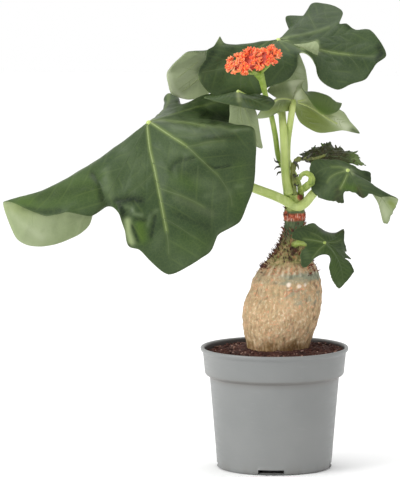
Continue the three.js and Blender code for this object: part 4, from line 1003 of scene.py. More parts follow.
def fillet(points, bends):
    """A profile with its marked corners rounded: bends gives a radius for a corner's number."""
    result = []
    for k, point in enumerate(points):
        point = np.array(point, float)
        if k not in bends:
            result.append(point)
            continue
        before = np.array(points[k - 1], float)
        after = np.array(points[k + 1], float)
        reach_before = min(bends[k], np.linalg.norm(before - point) * 0.45)
        reach_after = min(bends[k], np.linalg.norm(after - point) * 0.45)
        start = point + (before - point) / np.linalg.norm(before - point) * reach_before
        end = point + (after - point) / np.linalg.norm(after - point) * reach_after
        for t in np.linspace(0, 1, 6):
            result.append((1 - t) ** 2 * start + 2 * t * (1 - t) * point + t * t * end)
    return result


def pot_angles():
    """Angles round the pot, with the slots' edges among them, and whether each step lies in a slot."""
    half = math.asin(DRAIN_WIDTH / 2 / FOOT_RADIUS)
    angles = []
    in_slot = []
    for i in range(DRAIN_COUNT):
        middle = -math.pi / 2 + i / DRAIN_COUNT * math.tau + DRAIN_TURN
        next_middle = middle + math.tau / DRAIN_COUNT
        for a in np.linspace(middle - half, middle + half, 11)[:-1]:
            angles.append(a)
            in_slot.append(True)
        for a in np.linspace(middle + half, next_middle - half, 29)[:-1]:
            angles.append(a)
            in_slot.append(False)
    return np.array(angles), in_slot


def build_pot(material):
    outer = [
        (0, 0.5), (38, 0.5), (39.5, 0.0), (FOOT_RADIUS - 2, 0), (FOOT_RADIUS, 1.2),
        (FOOT_RADIUS + 0.1, 4.4), (BODY_TOP_RADIUS, BAND_FOOT - 1.6), (BAND_RADIUS - 0.5, BAND_FOOT),
        (BAND_RADIUS + 0.5, BAND_FOOT + 1.2), (BAND_RADIUS + 2.2, POT_HEIGHT - 4.4),
        (RIM_RADIUS - 0.5, POT_HEIGHT - 2.9), (RIM_RADIUS, POT_HEIGHT - 1.2),
        (RIM_RADIUS - 0.5, POT_HEIGHT), (RIM_RADIUS - 2.2, POT_HEIGHT),
        (RIM_RADIUS - 3.4, POT_HEIGHT - 1.4), (BAND_RADIUS + 1.3 - WALL, BAND_FOOT + 6),
        (BAND_RADIUS - WALL, BAND_FOOT + 1), (BODY_TOP_RADIUS - WALL, BAND_FOOT - 2),
        (FOOT_RADIUS - WALL, 4.4), (FOOT_RADIUS - WALL - 2, FLOOR), (0, FLOOR),
    ]
    bends = {
        1: 0.6, 2: 0.6, 3: 0.8, 6: 0.9, 7: 0.5, 8: 0.7, 9: 1.2, 10: 0.7, 11: 0.7, 12: 0.5, 13: 0.7, 14: 0.6,
    }
    profile = np.array(fillet(outer, bends))
    parts = [profile[0]]
    for before, here in zip(profile[:-1], profile[1:]):
        length = np.linalg.norm(here - before)
        if length > 6 and here[0] != 0 and before[0] != 0:
            steps = int(length / 4)
            parts += [before + (here - before) * s / steps for s in range(1, steps)]
        parts.append(here)
    radii, heights = np.array(parts).T
    low_out = int(np.argmin(np.hypot(radii - FOOT_RADIUS, heights - DRAIN_LOW)))
    high_out = int(np.argmin(np.hypot(radii - FOOT_RADIUS - 0.1, heights - DRAIN_HIGH)))
    high_in = int(np.argmin(np.hypot(radii - FOOT_RADIUS + WALL, heights - DRAIN_HIGH)))
    low_in = int(np.argmin(np.hypot(radii - FOOT_RADIUS + WALL + 2, heights - FLOOR)))
    angles, in_slot = pot_angles()
    count = len(angles)
    radii = np.where(radii == 0, 0.05, radii)
    points = [
        np.stack([r * np.cos(angles), r * np.sin(angles), np.full(count, z)], 1)
        for r, z in zip(radii, heights)
    ]
    faces = []
    for k in range(len(radii) - 1):
        cut = low_out <= k < high_out or high_in <= k < low_in
        for j in range(count):
            if cut and in_slot[j]:
                continue
            n = (j + 1) % count
            faces.append([k * count + j, k * count + n, (k + 1) * count + n, (k + 1) * count + j])
    faces.append(list(range(count))[::-1])
    faces.append([(len(radii) - 1) * count + j for j in range(count)])
    for j in range(count):
        n = (j + 1) % count
        if in_slot[j]:
            for a, b in ((low_in, low_out), (high_out, high_in)):
                faces.append([a * count + j, a * count + n, b * count + n, b * count + j])
            if not in_slot[j - 1]:
                faces.append([k * count + j for k in (low_out, high_out, high_in, low_in)])
            if not in_slot[n]:
                faces.append([k * count + n for k in (low_in, high_in, high_out, low_out)])
    points = np.concatenate(points)
    rim_row = int(np.argmax(heights))
    row_of = np.repeat(np.arange(len(radii)), count)
    # The inside of the wall, painted dark as painted shade under the rim with a soil stain
    inner = np.where(row_of > rim_row + 6, 1.0, 0.0)
    z = points[:, 2]
    angle = np.tile(angles, len(radii))
    # Darker towards the foot in uneven streaks, and painted shade in a strip just under the band's overhang
    dust = 0.5 * blend_in(14, 0, z) * (0.5 + 0.5 * np.sin(angle * 9 + np.sin(angle * 23)))
    dust = dust + 0.75 * blend_in(BAND_FOOT + 3, BAND_FOOT, z) * blend_in(BAND_FOOT - 5, BAND_FOOT - 1, z)
    shape = Shape()
    shape.add(points, faces, inner=inner, dust=np.clip(dust, 0, 1))
    shape.piece("pot_shell", [material], "pot")


# The soil

def lumps(x, y):
    waves = np.sin(x * 0.31 + 1.3) + np.sin(y * 0.37 + 0.4)
    return (waves + np.sin((x + y) * 0.23) + np.sin((x - y) * 0.53)) / 4


def soil_top(x, y):
    share = np.clip((np.hypot(x, y) - 26) / 30, 0, 1)
    return SOIL_AT_PLANT + (SOIL_AT_WALL - SOIL_AT_PLANT) * share + SOIL_TILT * x + SOIL_LUMP * lumps(x, y)


def rough_ball(rng, size, flat):
    """An uneven crumb round the origin."""
    points = []
    for i in range(1, 5):
        polar = i / 5 * math.pi
        for j in range(6):
            around = (j + 0.5 * (i % 2)) / 6 * math.tau
            r = size * (0.75 + 0.5 * rng.random())
            points.append([
                r * math.sin(polar) * math.cos(around),
                r * math.sin(polar) * math.sin(around),
                r * flat * math.cos(polar),
            ])
    points += [[0, 0, size * flat], [0, 0, -size * flat]]
    faces = grid_faces(4, 6, closed=True, flip=True)
    for j in range(6):
        k = (j + 1) % 6
        faces.append([24, j, k])
        faces.append([25, 18 + k, 18 + j])
    return np.array(points), faces


def turned(points, rng):
    """Points turned any way round the origin."""
    axis = Vector((rng.random() - 0.5, rng.random() - 0.5, rng.random() - 0.5)).normalized()
    from_axis = np.array(axis.to_track_quat("Z", "Y").to_matrix())
    return points @ from_axis.T


def build_soil(material):
    rng = random.Random(11)
    radii = np.concatenate([np.linspace(20, 55.4, 60), [55.6, 55.2]])
    count = 260
    angles = np.arange(count) / count * math.tau
    points = []
    for r in radii:
        for a in angles:
            x, y = r * math.cos(a), r * math.sin(a)
            rough = noise.fractal(Vector((x * 0.25, y * 0.25, 3.0)), 0.8, 2.1, 5) if r < 55.5 else 0.0
            points.append([x, y, soil_top(x, y) + 0.9 * rough])
    points = np.array(points)
    last = points[-count:]
    last[:, 2] = 88.0
    deep = last.copy()
    deep[:, :2] *= 0.985
    deep[:, 2] = 84.5
    points = np.concatenate([points, deep])
    faces = grid_faces(len(radii) + 1, count, closed=True, flip=True)
    shape = Shape()
    shape.add(points, faces, pale=0.0)
    for _ in range(CRUMB_COUNT):
        a = rng.random() * math.tau
        r = 26.5 + 28.2 * math.sqrt(rng.random())
        x, y = r * math.cos(a), r * math.sin(a)
        pale = rng.random() < 0.16
        size = (0.5 + 0.8 * rng.random()) if pale else (0.5 + 1.3 * rng.random() ** 2)
        ball, ball_faces = rough_ball(rng, size, 0.7)
        ball = turned(ball, rng)
        x, y = [v * min(1.0, (55.3 - size) / r) for v in (x, y)]
        middle = np.array([x, y, soil_top(x, y) + 0.15 * size])
        shape.add(ball + middle, ball_faces, pale=0.35 + 0.65 * rng.random() if pale else 0.0)
    for _ in range(FIBRE_COUNT):
        a = rng.random() * math.tau
        r = 30 + 22 * rng.random()
        x, y = r * math.cos(a), r * math.sin(a)
        turn = rng.random() * math.pi
        reach = 1.5 + 2.5 * rng.random()
        start = np.array([x - reach * math.cos(turn), y - reach * math.sin(turn), 0.0])
        end = np.array([x + reach * math.cos(turn), y + reach * math.sin(turn), 0.0])
        start[2] = soil_top(*start[:2]) + 0.1
        end[2] = soil_top(*end[:2]) + 0.3
        middle = (start + end) / 2 + np.array([0.4, 0.3, 0.5 + 0.4 * rng.random()])
        line = line_at([start, middle, end], np.linspace(0, 1, 7))
        add_tube(shape, line, [0.22] * 7, 5, pale=0.25 + 0.3 * rng.random())
    shape.piece("soil_crumbs", [material], "soil")


# The caudex and stem

def trunk_at(z):
    """The trunk's middle and radius at heights, along smooth lines through its rows."""
    rows = np.array(TRUNK_ROWS, float)
    z = np.clip(z, rows[0, 0], rows[-1, 0])
    slopes = np.gradient(rows[:, 1:], rows[:, 0], axis=0)
    k = np.clip(np.searchsorted(rows[:, 0], z, side="right") - 1, 0, len(rows) - 2)
    step = rows[k + 1, 0] - rows[k, 0]
    t = ((z - rows[k, 0]) / step)[..., None]
    step = step[..., None]
    found = hermite(rows[k, 1:], slopes[k] * step, rows[k + 1, 1:], slopes[k + 1] * step, t)
    return found[..., 0], found[..., 1]


def noise_at(points, size, octaves, shift=0.0):
    """Soft noise at points, with features of that size, from about -1 to 1."""
    return np.array([
        noise.fractal(Vector((x / size[0] + shift, y / size[1], z / size[2])), 0.9, 2.0, octaves)
        for x, y, z in points
    ])


def on_trunk(across, up):
    """The place on the trunk's front that is seen at a spot, with the angle round the trunk."""
    z = up
    for _ in range(4):
        middle, radius = trunk_at(np.array(z))
        sine = np.clip((across - middle) / radius, -0.98, 0.98)
        depth = -float(radius * math.sqrt(1 - sine * sine))
        z = float(at(across, up, depth)[2])
    return z, math.atan2(depth, float(radius * sine))


def trunk_spot(angle, z, radius, across, up, wide, tall, soft):
    """1 where points of the trunk lie in a spot that is seen on its front, and soft at its edge."""
    spot_z, spot_angle = on_trunk(across, up)
    away = np.hypot((angle - spot_angle % math.tau) * radius / wide, (z - spot_z) / tall)
    return 1 - blend_in(0.5, soft, away)


def build_caudex(material, bristle):
    heights = np.concatenate([np.arange(90, 186, 0.75), np.arange(186, 223.2, 0.8)])
    count = 190
    angles = np.arange(count) / count * math.tau
    z = np.repeat(heights, count)
    angle = np.tile(angles, len(heights))
    middle, radius = trunk_at(z)
    ring = np.stack([np.cos(angle) * radius, np.sin(angle) * radius, z], 1)

    # Furrows and plates of the swollen part, a ring of pegs, the rough neck and a scarred band
    swell = between(98, 106, 170, 186, z)
    furrows = noise_at(ring, (3.0, 3.0, 9.0), 3)
    plates = noise_at(ring, (5.5, 5.5, 5.5), 3, shift=40.0)
    pegs = np.sin(angle * 27 + 1.5 * np.sin(angle * 4)) * between(157, 160, 166, 169, z + plates)
    neck = between(168, 174, 184, 192, z)
    band = between(201, 202.6, 207, 208.4, z + 0.5 * plates)
    ledge = (blend_in(152, 153, z) - blend_in(160, 163, z)) * blend_in(0.4, -0.4, np.cos(angle))
    relief = swell * (0.55 * furrows + 0.45 * plates) + 0.25 * pegs + 0.45 * ledge
    relief = relief + neck * noise_at(ring, (3.0, 3.0, 4.5), 3, shift=11.0)
    relief = relief + band * (0.35 * np.sin(angle * 19) + 0.25) + 0.12 * noise_at(ring, (4, 4, 9), 2)
    reach = radius + np.clip(relief, -1.4, 1.3)
    points = np.stack([middle + np.cos(angle) * reach, np.sin(angle) * reach, z], 1)

    # Grey rings, stains at the foot, red scars, white and pink flecks, dark clefts with painted shade, and a
    # green stem
    wobble = 2.5 * noise_at(ring, (14.0, 14.0, 30.0), 2, shift=5.0)
    wavy_z = z + (wobble + 1.2 * plates)
    right = blend_in(-0.45, 0.05, np.cos(angle))
    grey = between(151.5, 154, 159.5, 162, wavy_z) * (0.25 + 0.75 * right)
    low_grey = between(135, 139, 146, 149.5, wavy_z)
    grey = np.maximum(grey, 0.7 * low_grey * (0.35 + 0.65 * right) * blend_in(-0.2, 0.3, plates))
    patchy = noise_at(ring, (7, 7, 9), 3, shift=51.0)
    stain = 1 - blend_in(98, 117, z + 2 * (wobble + 1.2 * plates))
    stain = stain * blend_in(-0.5, 0.25, patchy + (103 - z) / 12)
    scar = np.maximum(band, 0.5 * neck * blend_in(0.15, 0.6, noise_at(ring, (3, 3, 5), 2, shift=23.0)))
    for spot in ((20.8, 220.4), (8.6, 206.6)):
        scar = np.maximum(scar, 0.95 * trunk_spot(angle, z, radius, *spot, 4.0, 3.4, 1.0))
    streaks = noise_at(ring, (0.9, 0.9, 5.0), 2, shift=31.0)
    white = np.maximum(
        0.75 * band * blend_in(0.25, 0.5, streaks),
        0.42 * blend_in(0.3, 0.9, pegs) * blend_in(-0.4, 0.2, furrows),
    )
    for spot in ((11, 148.7, 2.3, 2.4), (19.6, 147.5, 2.2, 1.8), (24.1, 148.7, 1.3, 1.9)):
        white = np.maximum(white, trunk_spot(angle, z, radius, *spot, 1.05))
    pink = 0.75 * blend_in(0.1, 0.5, noise_at(ring, (6, 6, 7), 2, shift=17.0))
    pink = pink * (1 - blend_in(168, 174, z)) * (0.3 + 0.7 * blend_in(126, 138, z))
    pink = pink + 0.85 * blend_in(0.3, 0.9, -pegs)
    edge = blend_in(0.8, 0.97, np.cos(angle + 0.25))
    # Dark clefts in the scarred band, and painted shade in the deepest furrows, between the pegs and along
    # the trunk's right edge away from the key light
    dark = np.max([
        0.45 * swell * blend_in(0.42, 0.75, -furrows),
        0.38 * blend_in(0.2, 0.8, -pegs) * blend_in(-0.3, 0.4, plates),
        0.5 * band * blend_in(0.2, 0.6, -streaks),
        0.6 * edge * blend_in(0.1, 0.5, furrows + plates) * swell,
    ], 0)
    # Dark spots, two of them painted shade where the low stalk and the young shoot leave the stem
    for *spot, strength in (
        (15.5, 177, 4.2, 4.6, 0.85), (16, 144, 6.5, 1.6, 0.4), (21.2, 220.6, 3.4, 3.4, 0.75),
        (10.5, 206, 1.8, 2.6, 0.7),
    ):
        dark = np.maximum(dark, strength * trunk_spot(angle, z, radius, *spot, 1.1))
    grown = {
        "grey": grey, "stain": stain, "green": blend_in(181, 193, z + wobble), "scar": scar,
        "white": white, "pink": pink, "dark": dark, "light": blend_in(209.0, 211.0, z + 0.8 * plates),
        "neck": between(165, 170, 190, 198, z + wobble),
    }

    # The grid is closed by a point under it and one on top, which is fresh and green
    faces = grid_faces(len(heights), count, closed=True)
    foot = len(points)
    top = (len(heights) - 1) * count
    points = np.concatenate([points, [[2.2, 0, 88.0], [16, 0, TRUNK_TOP]]])
    for j in range(count):
        k = (j + 1) % count
        faces.append([foot, k, j])
        faces.append([foot + 1, top + j, top + k])
    closed = {
        key: np.concatenate([value, [0, 1 if key in ("green", "light") else 0]])
        for key, value in grown.items()
    }
    shape = Shape()
    shape.add(points, faces, **closed)
    add_bristles(shape)
    shape.piece("caudex_bark", [material, bristle], "caudex_and_stem")


def add_bristle(shape, rng, angle, z, length, lift, thick=0.42, **colour):
    """One curved bristle or scale that grows out of the trunk."""
    middle, radius = trunk_at(np.array(z))
    out = np.array([math.cos(angle), math.sin(angle), lift])
    out = out / np.linalg.norm(out)
    root = np.array([middle + radius * math.cos(angle), radius * math.sin(angle), z])
    bend = np.array([rng.random() - 0.5, rng.random() - 0.5, 0.3 + 0.5 * rng.random()]) * length * 0.35
    places = np.linspace(0, 1, 5)[:, None]
    line = root - out * 0.8 + out * places * (length + 0.8) + bend * places * places
    radii = thick * (1 - places[:, 0] * 0.85)
    add_tube(shape, line, radii, 5, slot=1, **colour)


def scale_colour(rng):
    """A scale's colour: most are dark, some red, tan or olive."""
    pick = rng.random()
    shade = 0.5 + 0.5 * rng.random()
    if pick < 0.32:
        return {"red": 0.25 * rng.random()}
    if pick < 0.42:
        return {"red": shade}
    return {"tan": shade} if pick < 0.70 else {"olive": shade}


def add_bristles(shape):
    """Brushes of bristles where leaves once stood, at the spots seen and by a rule round the rest."""
    rng = random.Random(3)
    brushes = [
        (-10.5, 165, 22, 4.0, 0.2), (-8, 162, 14, 3.0, 0.3), (29.5, 163.5, 14, 3.0, 0.6),
        (31, 160, 8, 2.4, 0.7), (-2.5, 173, 14, 3.4, 0.2), (0.5, 177, 14, 3.4, 0.1),
        (3.5, 182, 14, 3.6, 0.2), (6.2, 187, 12, 3.2, 0.2), (7.5, 193, 14, 3.0, 0.8),
        (24.6, 199.5, 12, 2.6, 0.8), (23.5, 208, 3, 2.0, 0.3), (8.6, 206, 8, 2.0, 0.5),
        (8.4, 212, 5, 3.6, 0.1), (24.6, 212.6, 3, 2.4, 0.2),
    ]
    for across, up, count, length, red in brushes:
        z, angle = on_trunk(across, up)
        for _ in range(count):
            spread = (rng.random() - 0.5) * 0.6
            add_bristle(
                shape, rng, angle + spread, z + 4.0 * (rng.random() - 0.5),
                length * (0.5 + 0.6 * rng.random()), 0.2 + 0.7 * rng.random(), 0.35 + 0.3 * rng.random(),
                red=red + 0.2 * rng.random(), tan=0.8 if rng.random() < 0.2 else 0.0,
            )
    for i in range(SCALE_COUNT):
        z = 167 + 27 * (i + 0.5) / SCALE_COUNT + 3 * rng.random()
        angle = i * GOLDEN_TURN + 0.5 * rng.random()
        add_bristle(
            shape, rng, angle, z, 1.0 + 2.0 * rng.random(), 0.6 + 1.4 * rng.random(),
            0.4 + 0.45 * rng.random(), **scale_colour(rng),
        )
    for i in range(SPARSE_COUNT):
        z = 157 + 50 * (i + 0.5) / SPARSE_COUNT
        angle = i * GOLDEN_TURN + rng.random()
        for _ in range(2):
            add_bristle(
                shape, rng, angle + 0.16 * rng.random(), z + 1.2 * rng.random(),
                1.0 + 1.4 * rng.random(), 0.2 + 0.8 * rng.random(), red=rng.random() * 0.8,
            )


# The stalks

def add_spike(shape, points, thick, taper, power):
    """A small pointed outgrowth of a second skin."""
    places = np.linspace(0, 1, 8)
    line = line_at([at(*p) for p in points], places)
    add_tube(shape, line, thick * (1 - taper * places ** power), 7, slot=1)


def build_tube(node, points, radii, materials, slot, spacing=1.2, knobs=0.0, ridges=0.02, thorns=()):
    """A tube along points, swollen at its root, knobbly where it is wilted, with thorns of a second skin."""
    sides = 24
    shape = Shape()
    line = np.array([at(*p) for p in points])
    length = float(length_of(np.diff(line, axis=0)).sum())
    places = np.linspace(0, 1, max(12, int(length / spacing)))
    flare = 1 + 0.10 * np.exp(-places * length / 5.0)
    flare = flare + knobs * np.sin(places * length * 1.1) * np.sin(places * length * 0.43 + 1)
    root = np.pad(np.exp(-places * length / 9.0), len(END_SHARES), mode="edge")
    add_tube(
        shape, line_at(line, places), radii_at(radii, places) * flare, sides, ridges=ridges,
        root=np.repeat(root, sides),
    )
    for thick, *thorn in thorns:
        add_spike(shape, thorn, thick, 0.8, 2)
    shape.piece(node + "_skin", materials, node)


def build_stalks(fresh, shaded, wilted):
    for name, stalk in STALKS.items():
        points = [*stalk["points"], LEAVES[stalk["leaf"]]["foot"]]
        skin = shaded if name == "stalk_low" else fresh
        settings = {}
        if name == "stalk_shrivelled":
            skin = wilted
            settings = {"knobs": 0.3, "ridges": 0.1, "thorns": THORNS}
        build_tube(name, points, stalk["radii"], skin, "stalk", **settings)


def build_peduncle(materials):
    shape = Shape()
    for bract in BRACTS:
        add_spike(shape, bract, 0.95, 0.85, 1.5)
    line = np.array([at(*p) for p in PEDUNCLE_POINTS])
    places = np.linspace(0, 1, 100)
    add_tube(shape, line_at(line, places), radii_at(PEDUNCLE_RADII, places), 22, ridges=0.02)
    fork = line[-1]
    places = np.linspace(0, 1, 12)
    for i in range(BRANCH_COUNT):
        angle = i / BRANCH_COUNT * math.tau + 0.4
        end = head_point(np.array([0.72 * math.cos(angle), 0.72 * math.sin(angle), -0.5]), 0.6)
        middle = (fork + end) / 2 - np.array([0, 0, 0.6])
        add_tube(shape, line_at([fork, middle, end], places), radii_at([1.9, 1.4, 1.1], places), 12)
    shape.piece("flower_stalk_skin", materials, "flower_stalk")


# The leaves

def run_at(before, here, after):
    """The way a smooth line runs, held short enough that the line makes no loop."""
    run = (after - before) / 2
    longest = np.minimum(length_of(here - before), length_of(after - here))
    length = length_of(run)
    return run * np.where(length > longest, longest / np.maximum(length, 1e-9), 1.0)


def smooth(p0, p1, p2, p3, t):
    """A smooth line's point between p1 and p2."""
    return hermite(p1, run_at(p0, p1, p2), p2, run_at(p1, p2, p3), t)


def ray_points(foot, ray):
    """A ray's points at none, a third, two thirds and the whole of its length."""
    given = [at(*p) for p in ray]
    if len(given) == 3:
        return np.array([foot, *given])
    via, end = given
    along = [
        foot * 2 * (s - 0.5) * (s - 1) - via * 4 * s * (s - 1) + end * 2 * s * (s - 0.5)
        for s in (1 / 3, 2 / 3)
    ]
    return np.array([foot, *along, end])


def blade_rows(leaf):
    """The coarse sheet of a blade, as the solid has it, and the row where each ray starts."""
    foot = at(*leaf["foot"])
    rays = [ray_points(foot, ray) for ray in leaf["rays"]]
    count = len(rays)
    rings = leaf["rings"]
    rows = []
    starts = []
    for k, ray in enumerate(rays):
        around = [rays[k - 1], ray, rays[(k + 1) % count], rays[(k + 2) % count]]
        reach = np.linalg.norm(ray[3] - around[2][3])
        steps = max(1, int(math.floor(reach / leaf["edge_step"] + 0.5)))
        starts.append(len(rows))
        for i in range(steps):
            knots = smooth(*around, i / steps)
            line = np.array([2 * knots[0] - knots[1], *knots, 2 * knots[3] - knots[2]])
            row = []
            for m in range(rings + 1):
                place = m / rings * 3
                j = min(int(place), 2)
                row.append(smooth(line[j], line[j + 1], line[j + 2], line[j + 3], place - j))
            rows.append(row)
    starts.append(len(rows))
    return np.array(rows), starts


def sheet_normals(sheet):
    """The upper side's direction at each point of a sheet."""
    around = np.roll(sheet, -1, 0) - np.roll(sheet, 1, 0)
    along = np.gradient(sheet, axis=1)
    normals = np.cross(along, around)
    normals[:, 0] = normals[:, 1].sum(0)
    return unit(normals)


def eased_sheet(leaf):
    """The solid's middle sheet, eased by passes that draw each point to its neighbours."""
    sheet, starts = blade_rows(leaf)
    for _ in range(leaf.get("ease", EASE_PASSES)):
        inner = sheet[:, 1:-1]
        around = np.roll(sheet, 1, 0)[:, 1:-1] + np.roll(sheet, -1, 0)[:, 1:-1]
        middle = (around + sheet[:, :-2] + sheet[:, 2:]) / 4
        sheet[:, 1:-1] = inner + EASE_SHARE * (middle - inner)
    if "crinkle" in leaf:
        rings = leaf["rings"]
        i = np.arange(len(sheet))[:, None]
        m = np.arange(1, rings + 1)[None, :]
        wave = np.sin(i * 2.2) * np.sin(2 + m * 2.1 + i * 0.4)
        sheet[:, 1:] += sheet_normals(sheet)[:, 1:] * (leaf["crinkle"] * m / rings * wave)[..., None]
    return sheet, starts


def refined(lines, parts, closed):
    """More points on smooth lines that run along the first axis."""
    if closed:
        around = [np.roll(lines, -k, 0) for k in (-1, 0, 1, 2)]
    else:
        padded = np.concatenate([[2 * lines[0] - lines[1]], lines, [2 * lines[-1] - lines[-2]]])
        around = [padded[k:len(padded) - 3 + k] for k in range(4)]
    result = np.stack([smooth(*around, s / parts) for s in range(parts)], 1)
    result = result.reshape(-1, *lines.shape[1:])
    return result if closed else np.concatenate([result, lines[-1:]])


def pushed(sheet, push, power):
    """A sheet with its edge pushed outwards in its rows, least near the foot."""
    columns = sheet.shape[1]
    share = np.arange(columns) / (columns - 1)
    out = unit(sheet[:, -1] - sheet[:, -columns // 4])
    return sheet + out[:, None, :] * (push[:, None] * share ** power)[..., None]


def vein_fields(name, sheet, spots, ribs):
    """How near each point is to main veins: their tint, their valley, the distance along the ring to the
    nearest rib and the one after it, and the side of that rib the point is on."""
    rows, columns = sheet.shape[:2]
    ring_steps = length_of(np.roll(sheet, -1, 0) - sheet)[..., 0]
    ring_place = np.concatenate([np.zeros((1, columns)), np.cumsum(ring_steps, 0)], 0)
    whole = ring_place[-1]
    vein, valley, side = np.zeros((3, rows, columns))
    rib, next_rib = np.full((2, rows, columns), 1e3)
    for strength, _, *line in VEINS.get(name, []):
        away = PIXEL_WIDE * distance_to(line, spots)
        vein = np.maximum(vein, strength * fading(away, VEIN_REACH))
        valley = np.maximum(valley, strength ** 0.5 * fading(away, VALLEY_REACH))
    for rib_row, strength in ribs:
        low = int(rib_row)
        here = ring_place[low] + (rib_row - low) * (ring_place[low + 1] - ring_place[low])
        away = ring_place[:-1] - here
        away = (away + whole / 2) % np.maximum(whole, 1e-6) - whole / 2
        nearer = np.abs(away) < rib
        next_rib = np.where(nearer, rib, np.minimum(next_rib, np.abs(away)))
        side = np.where(nearer, np.sign(away), side)
        rib = np.where(nearer, np.abs(away), rib)
        vein = np.maximum(vein, strength * fading(away, VEIN_REACH))
        valley = np.maximum(valley, (0.14 + strength) * fading(away, VALLEY_REACH))
    return vein, valley, rib, next_rib, side


def build_leaf(name, leaf, materials):
    around, along = leaf["finer"]
    coarse, starts = eased_sheet(leaf)
    sheet = refined(coarse, around, closed=True)
    sheet = refined(sheet.transpose(1, 0, 2), along, closed=False).transpose(1, 0, 2)
    rows, columns = sheet.shape[:2]
    share = np.arange(columns) / (columns - 1)
    if "ragged" in leaf:
        turn = np.arange(rows) / rows * math.tau
        circle = [Vector((16 * math.cos(a), 16 * math.sin(a), 2.0)) for a in turn]
        teeth = np.array([noise.fractal(place, 0.7, 2.2, 4) for place in circle])
        sheet = pushed(sheet, leaf["ragged"] * teeth, 5)
    for ray, reach in leaf.get("tips", []):
        away = np.abs((np.arange(rows) - starts[ray] * around + rows / 2) % rows - rows / 2)
        sheet = pushed(sheet, reach * np.maximum(0, 1 - away / TIP_ROWS), 4)

    # How far each point is from the foot and from the edge, and where the main veins are
    steps = length_of(np.diff(sheet, axis=1))[..., 0]
    run = np.concatenate([np.zeros((rows, 1)), np.cumsum(steps, 1)], 1)
    rim = run[:, -1:] - run
    spots = seen_pixels(sheet)
    ribs = [(np.interp(r, np.arange(len(starts)), starts) * around, size) for r, size in leaf["ribs"]]
    vein, valley, rib, next_rib, side = vein_fields(name, sheet, spots, ribs)
    border = rib / np.maximum((rib + next_rib) / 2, 1e-3)

    # Second veins leave the main ones at even steps, bent towards the edge
    gap = VEIN_GAP * float(np.median(run[:, -1]))
    phase = (run - VEIN_LEAN * rib * (1 + 0.25 * border)) / gap + np.where(side > 0, 0.5, 0.0)
    branch = np.abs(phase - np.round(phase)) * gap / math.hypot(1, VEIN_LEAN)
    branched = blend_in(0.08, 0.25, share) * (1 - blend_in(0.75, 1.0, border)) * blend_in(0.0, 4.0, rim)

    # The blade bulges between its veins and ripples at the edge
    pillow = (1 - fading(branch, 2.0)) * branched
    flat = sheet.reshape(-1, 3)
    slow = noise_at(flat, (17.0, 17.0, 17.0), 2, shift=7.0).reshape(rows, columns)
    relief = (0.22 * pillow - 0.5 * valley + 0.85 * slow) * blend_in(0.0, 0.3, share)
    if "crinkle" in leaf:
        relief = relief + 1.5 * noise_at(flat, (3.4, 3.4, 3.4), 2, shift=3.0).reshape(rows, columns)
    for depth, width, *line in MARKS[name].get("groove", []):
        relief = relief - depth * fading(distance_to(line, spots), width)
    sheet = sheet + sheet_normals(sheet) * relief[..., None]
    normals = sheet_normals(sheet)

    # An upper and a lower skin from the foot to the edge, which meet in a narrow rim
    half = BLADE_HALF * blend_in(-3.0, 1.2, rim)
    values = {"vein": vein, "branch": branch, "branched": branched, "rim": rim, **tints(name, spots)}
    values = {key: value.ravel() for key, value in values.items()}
    turns = [(i * columns, (i + 1) % rows * columns) for i in range(rows)]
    faces = [[a + m, a + m + 1, b + m + 1, b + m] for a, b in turns for m in range(1, columns - 1)]
    faces += [[0, a + 1, b + 1] for a, b in turns]
    shape = Shape()
    for sign, slot in ((1, 0), (-1, 1)):
        skin = sheet + normals * (sign * half)[..., None]
        shape.add(skin.reshape(-1, 3), [face[::sign] for face in faces], slot, **values)
    if name == "leaf_top":
        add_flap(shape)
    if "frills" in leaf:
        add_frills(shape, leaf["frills"], sheet, normals)
    last = columns - 1
    lower = rows * columns + last
    shape.faces += [[a + last, a + lower, b + lower, b + last] for a, b in turns]
    shape.slots += [0] * rows

    add_veins(shape, sheet, normals, run, ribs, gap)
    for strength, width, *line in VEINS.get(name, []):
        path = follow(sheet, line)
        if len(path) > 3:
            places = np.linspace(0, 1, len(path))
            widths = width * (1 - 0.3 * places)
            heights = 0.22 * (1 - 0.4 * places)
            add_strip(shape, sheet, normals, path, widths, heights, 1 - strength * (1 - 0.25 * places))
    shape.piece(name + "_blade", materials, name)


def add_frills(shape, count, sheet, normals):
    """Small dried curls that stand on a withered blade."""
    rng = random.Random(21)
    rows, columns = sheet.shape[:2]
    for _ in range(count):
        row, column = rng.random() * rows, (0.35 + 0.6 * rng.random()) * (columns - 1)
        base = sample(sheet, row, column)
        up = sample(normals, row, column) * (1 if rng.random() < 0.7 else -1)
        lean = np.array([rng.random() - 0.5, rng.random() - 0.5, 0.5 * rng.random()])
        out = unit(up + 1.2 * lean)
        reach = 1.2 + 1.7 * rng.random()
        curl = np.array([rng.random() - 0.5, rng.random() - 0.5, rng.random() - 0.6]) * reach * 1.4
        places = np.linspace(0, 1, 7)[:, None]
        line = base - 0.3 * up + out * places * reach + curl * places ** 2
        radii = (0.6 + 0.7 * rng.random()) * (1 - 0.5 * places[:, 0])
        dry = rng.random()
        add_tube(shape, line, radii, 6, 0, ridges=0.25, brown=0.9 * (dry < 0.6), olive=0.9 * (dry > 0.8))


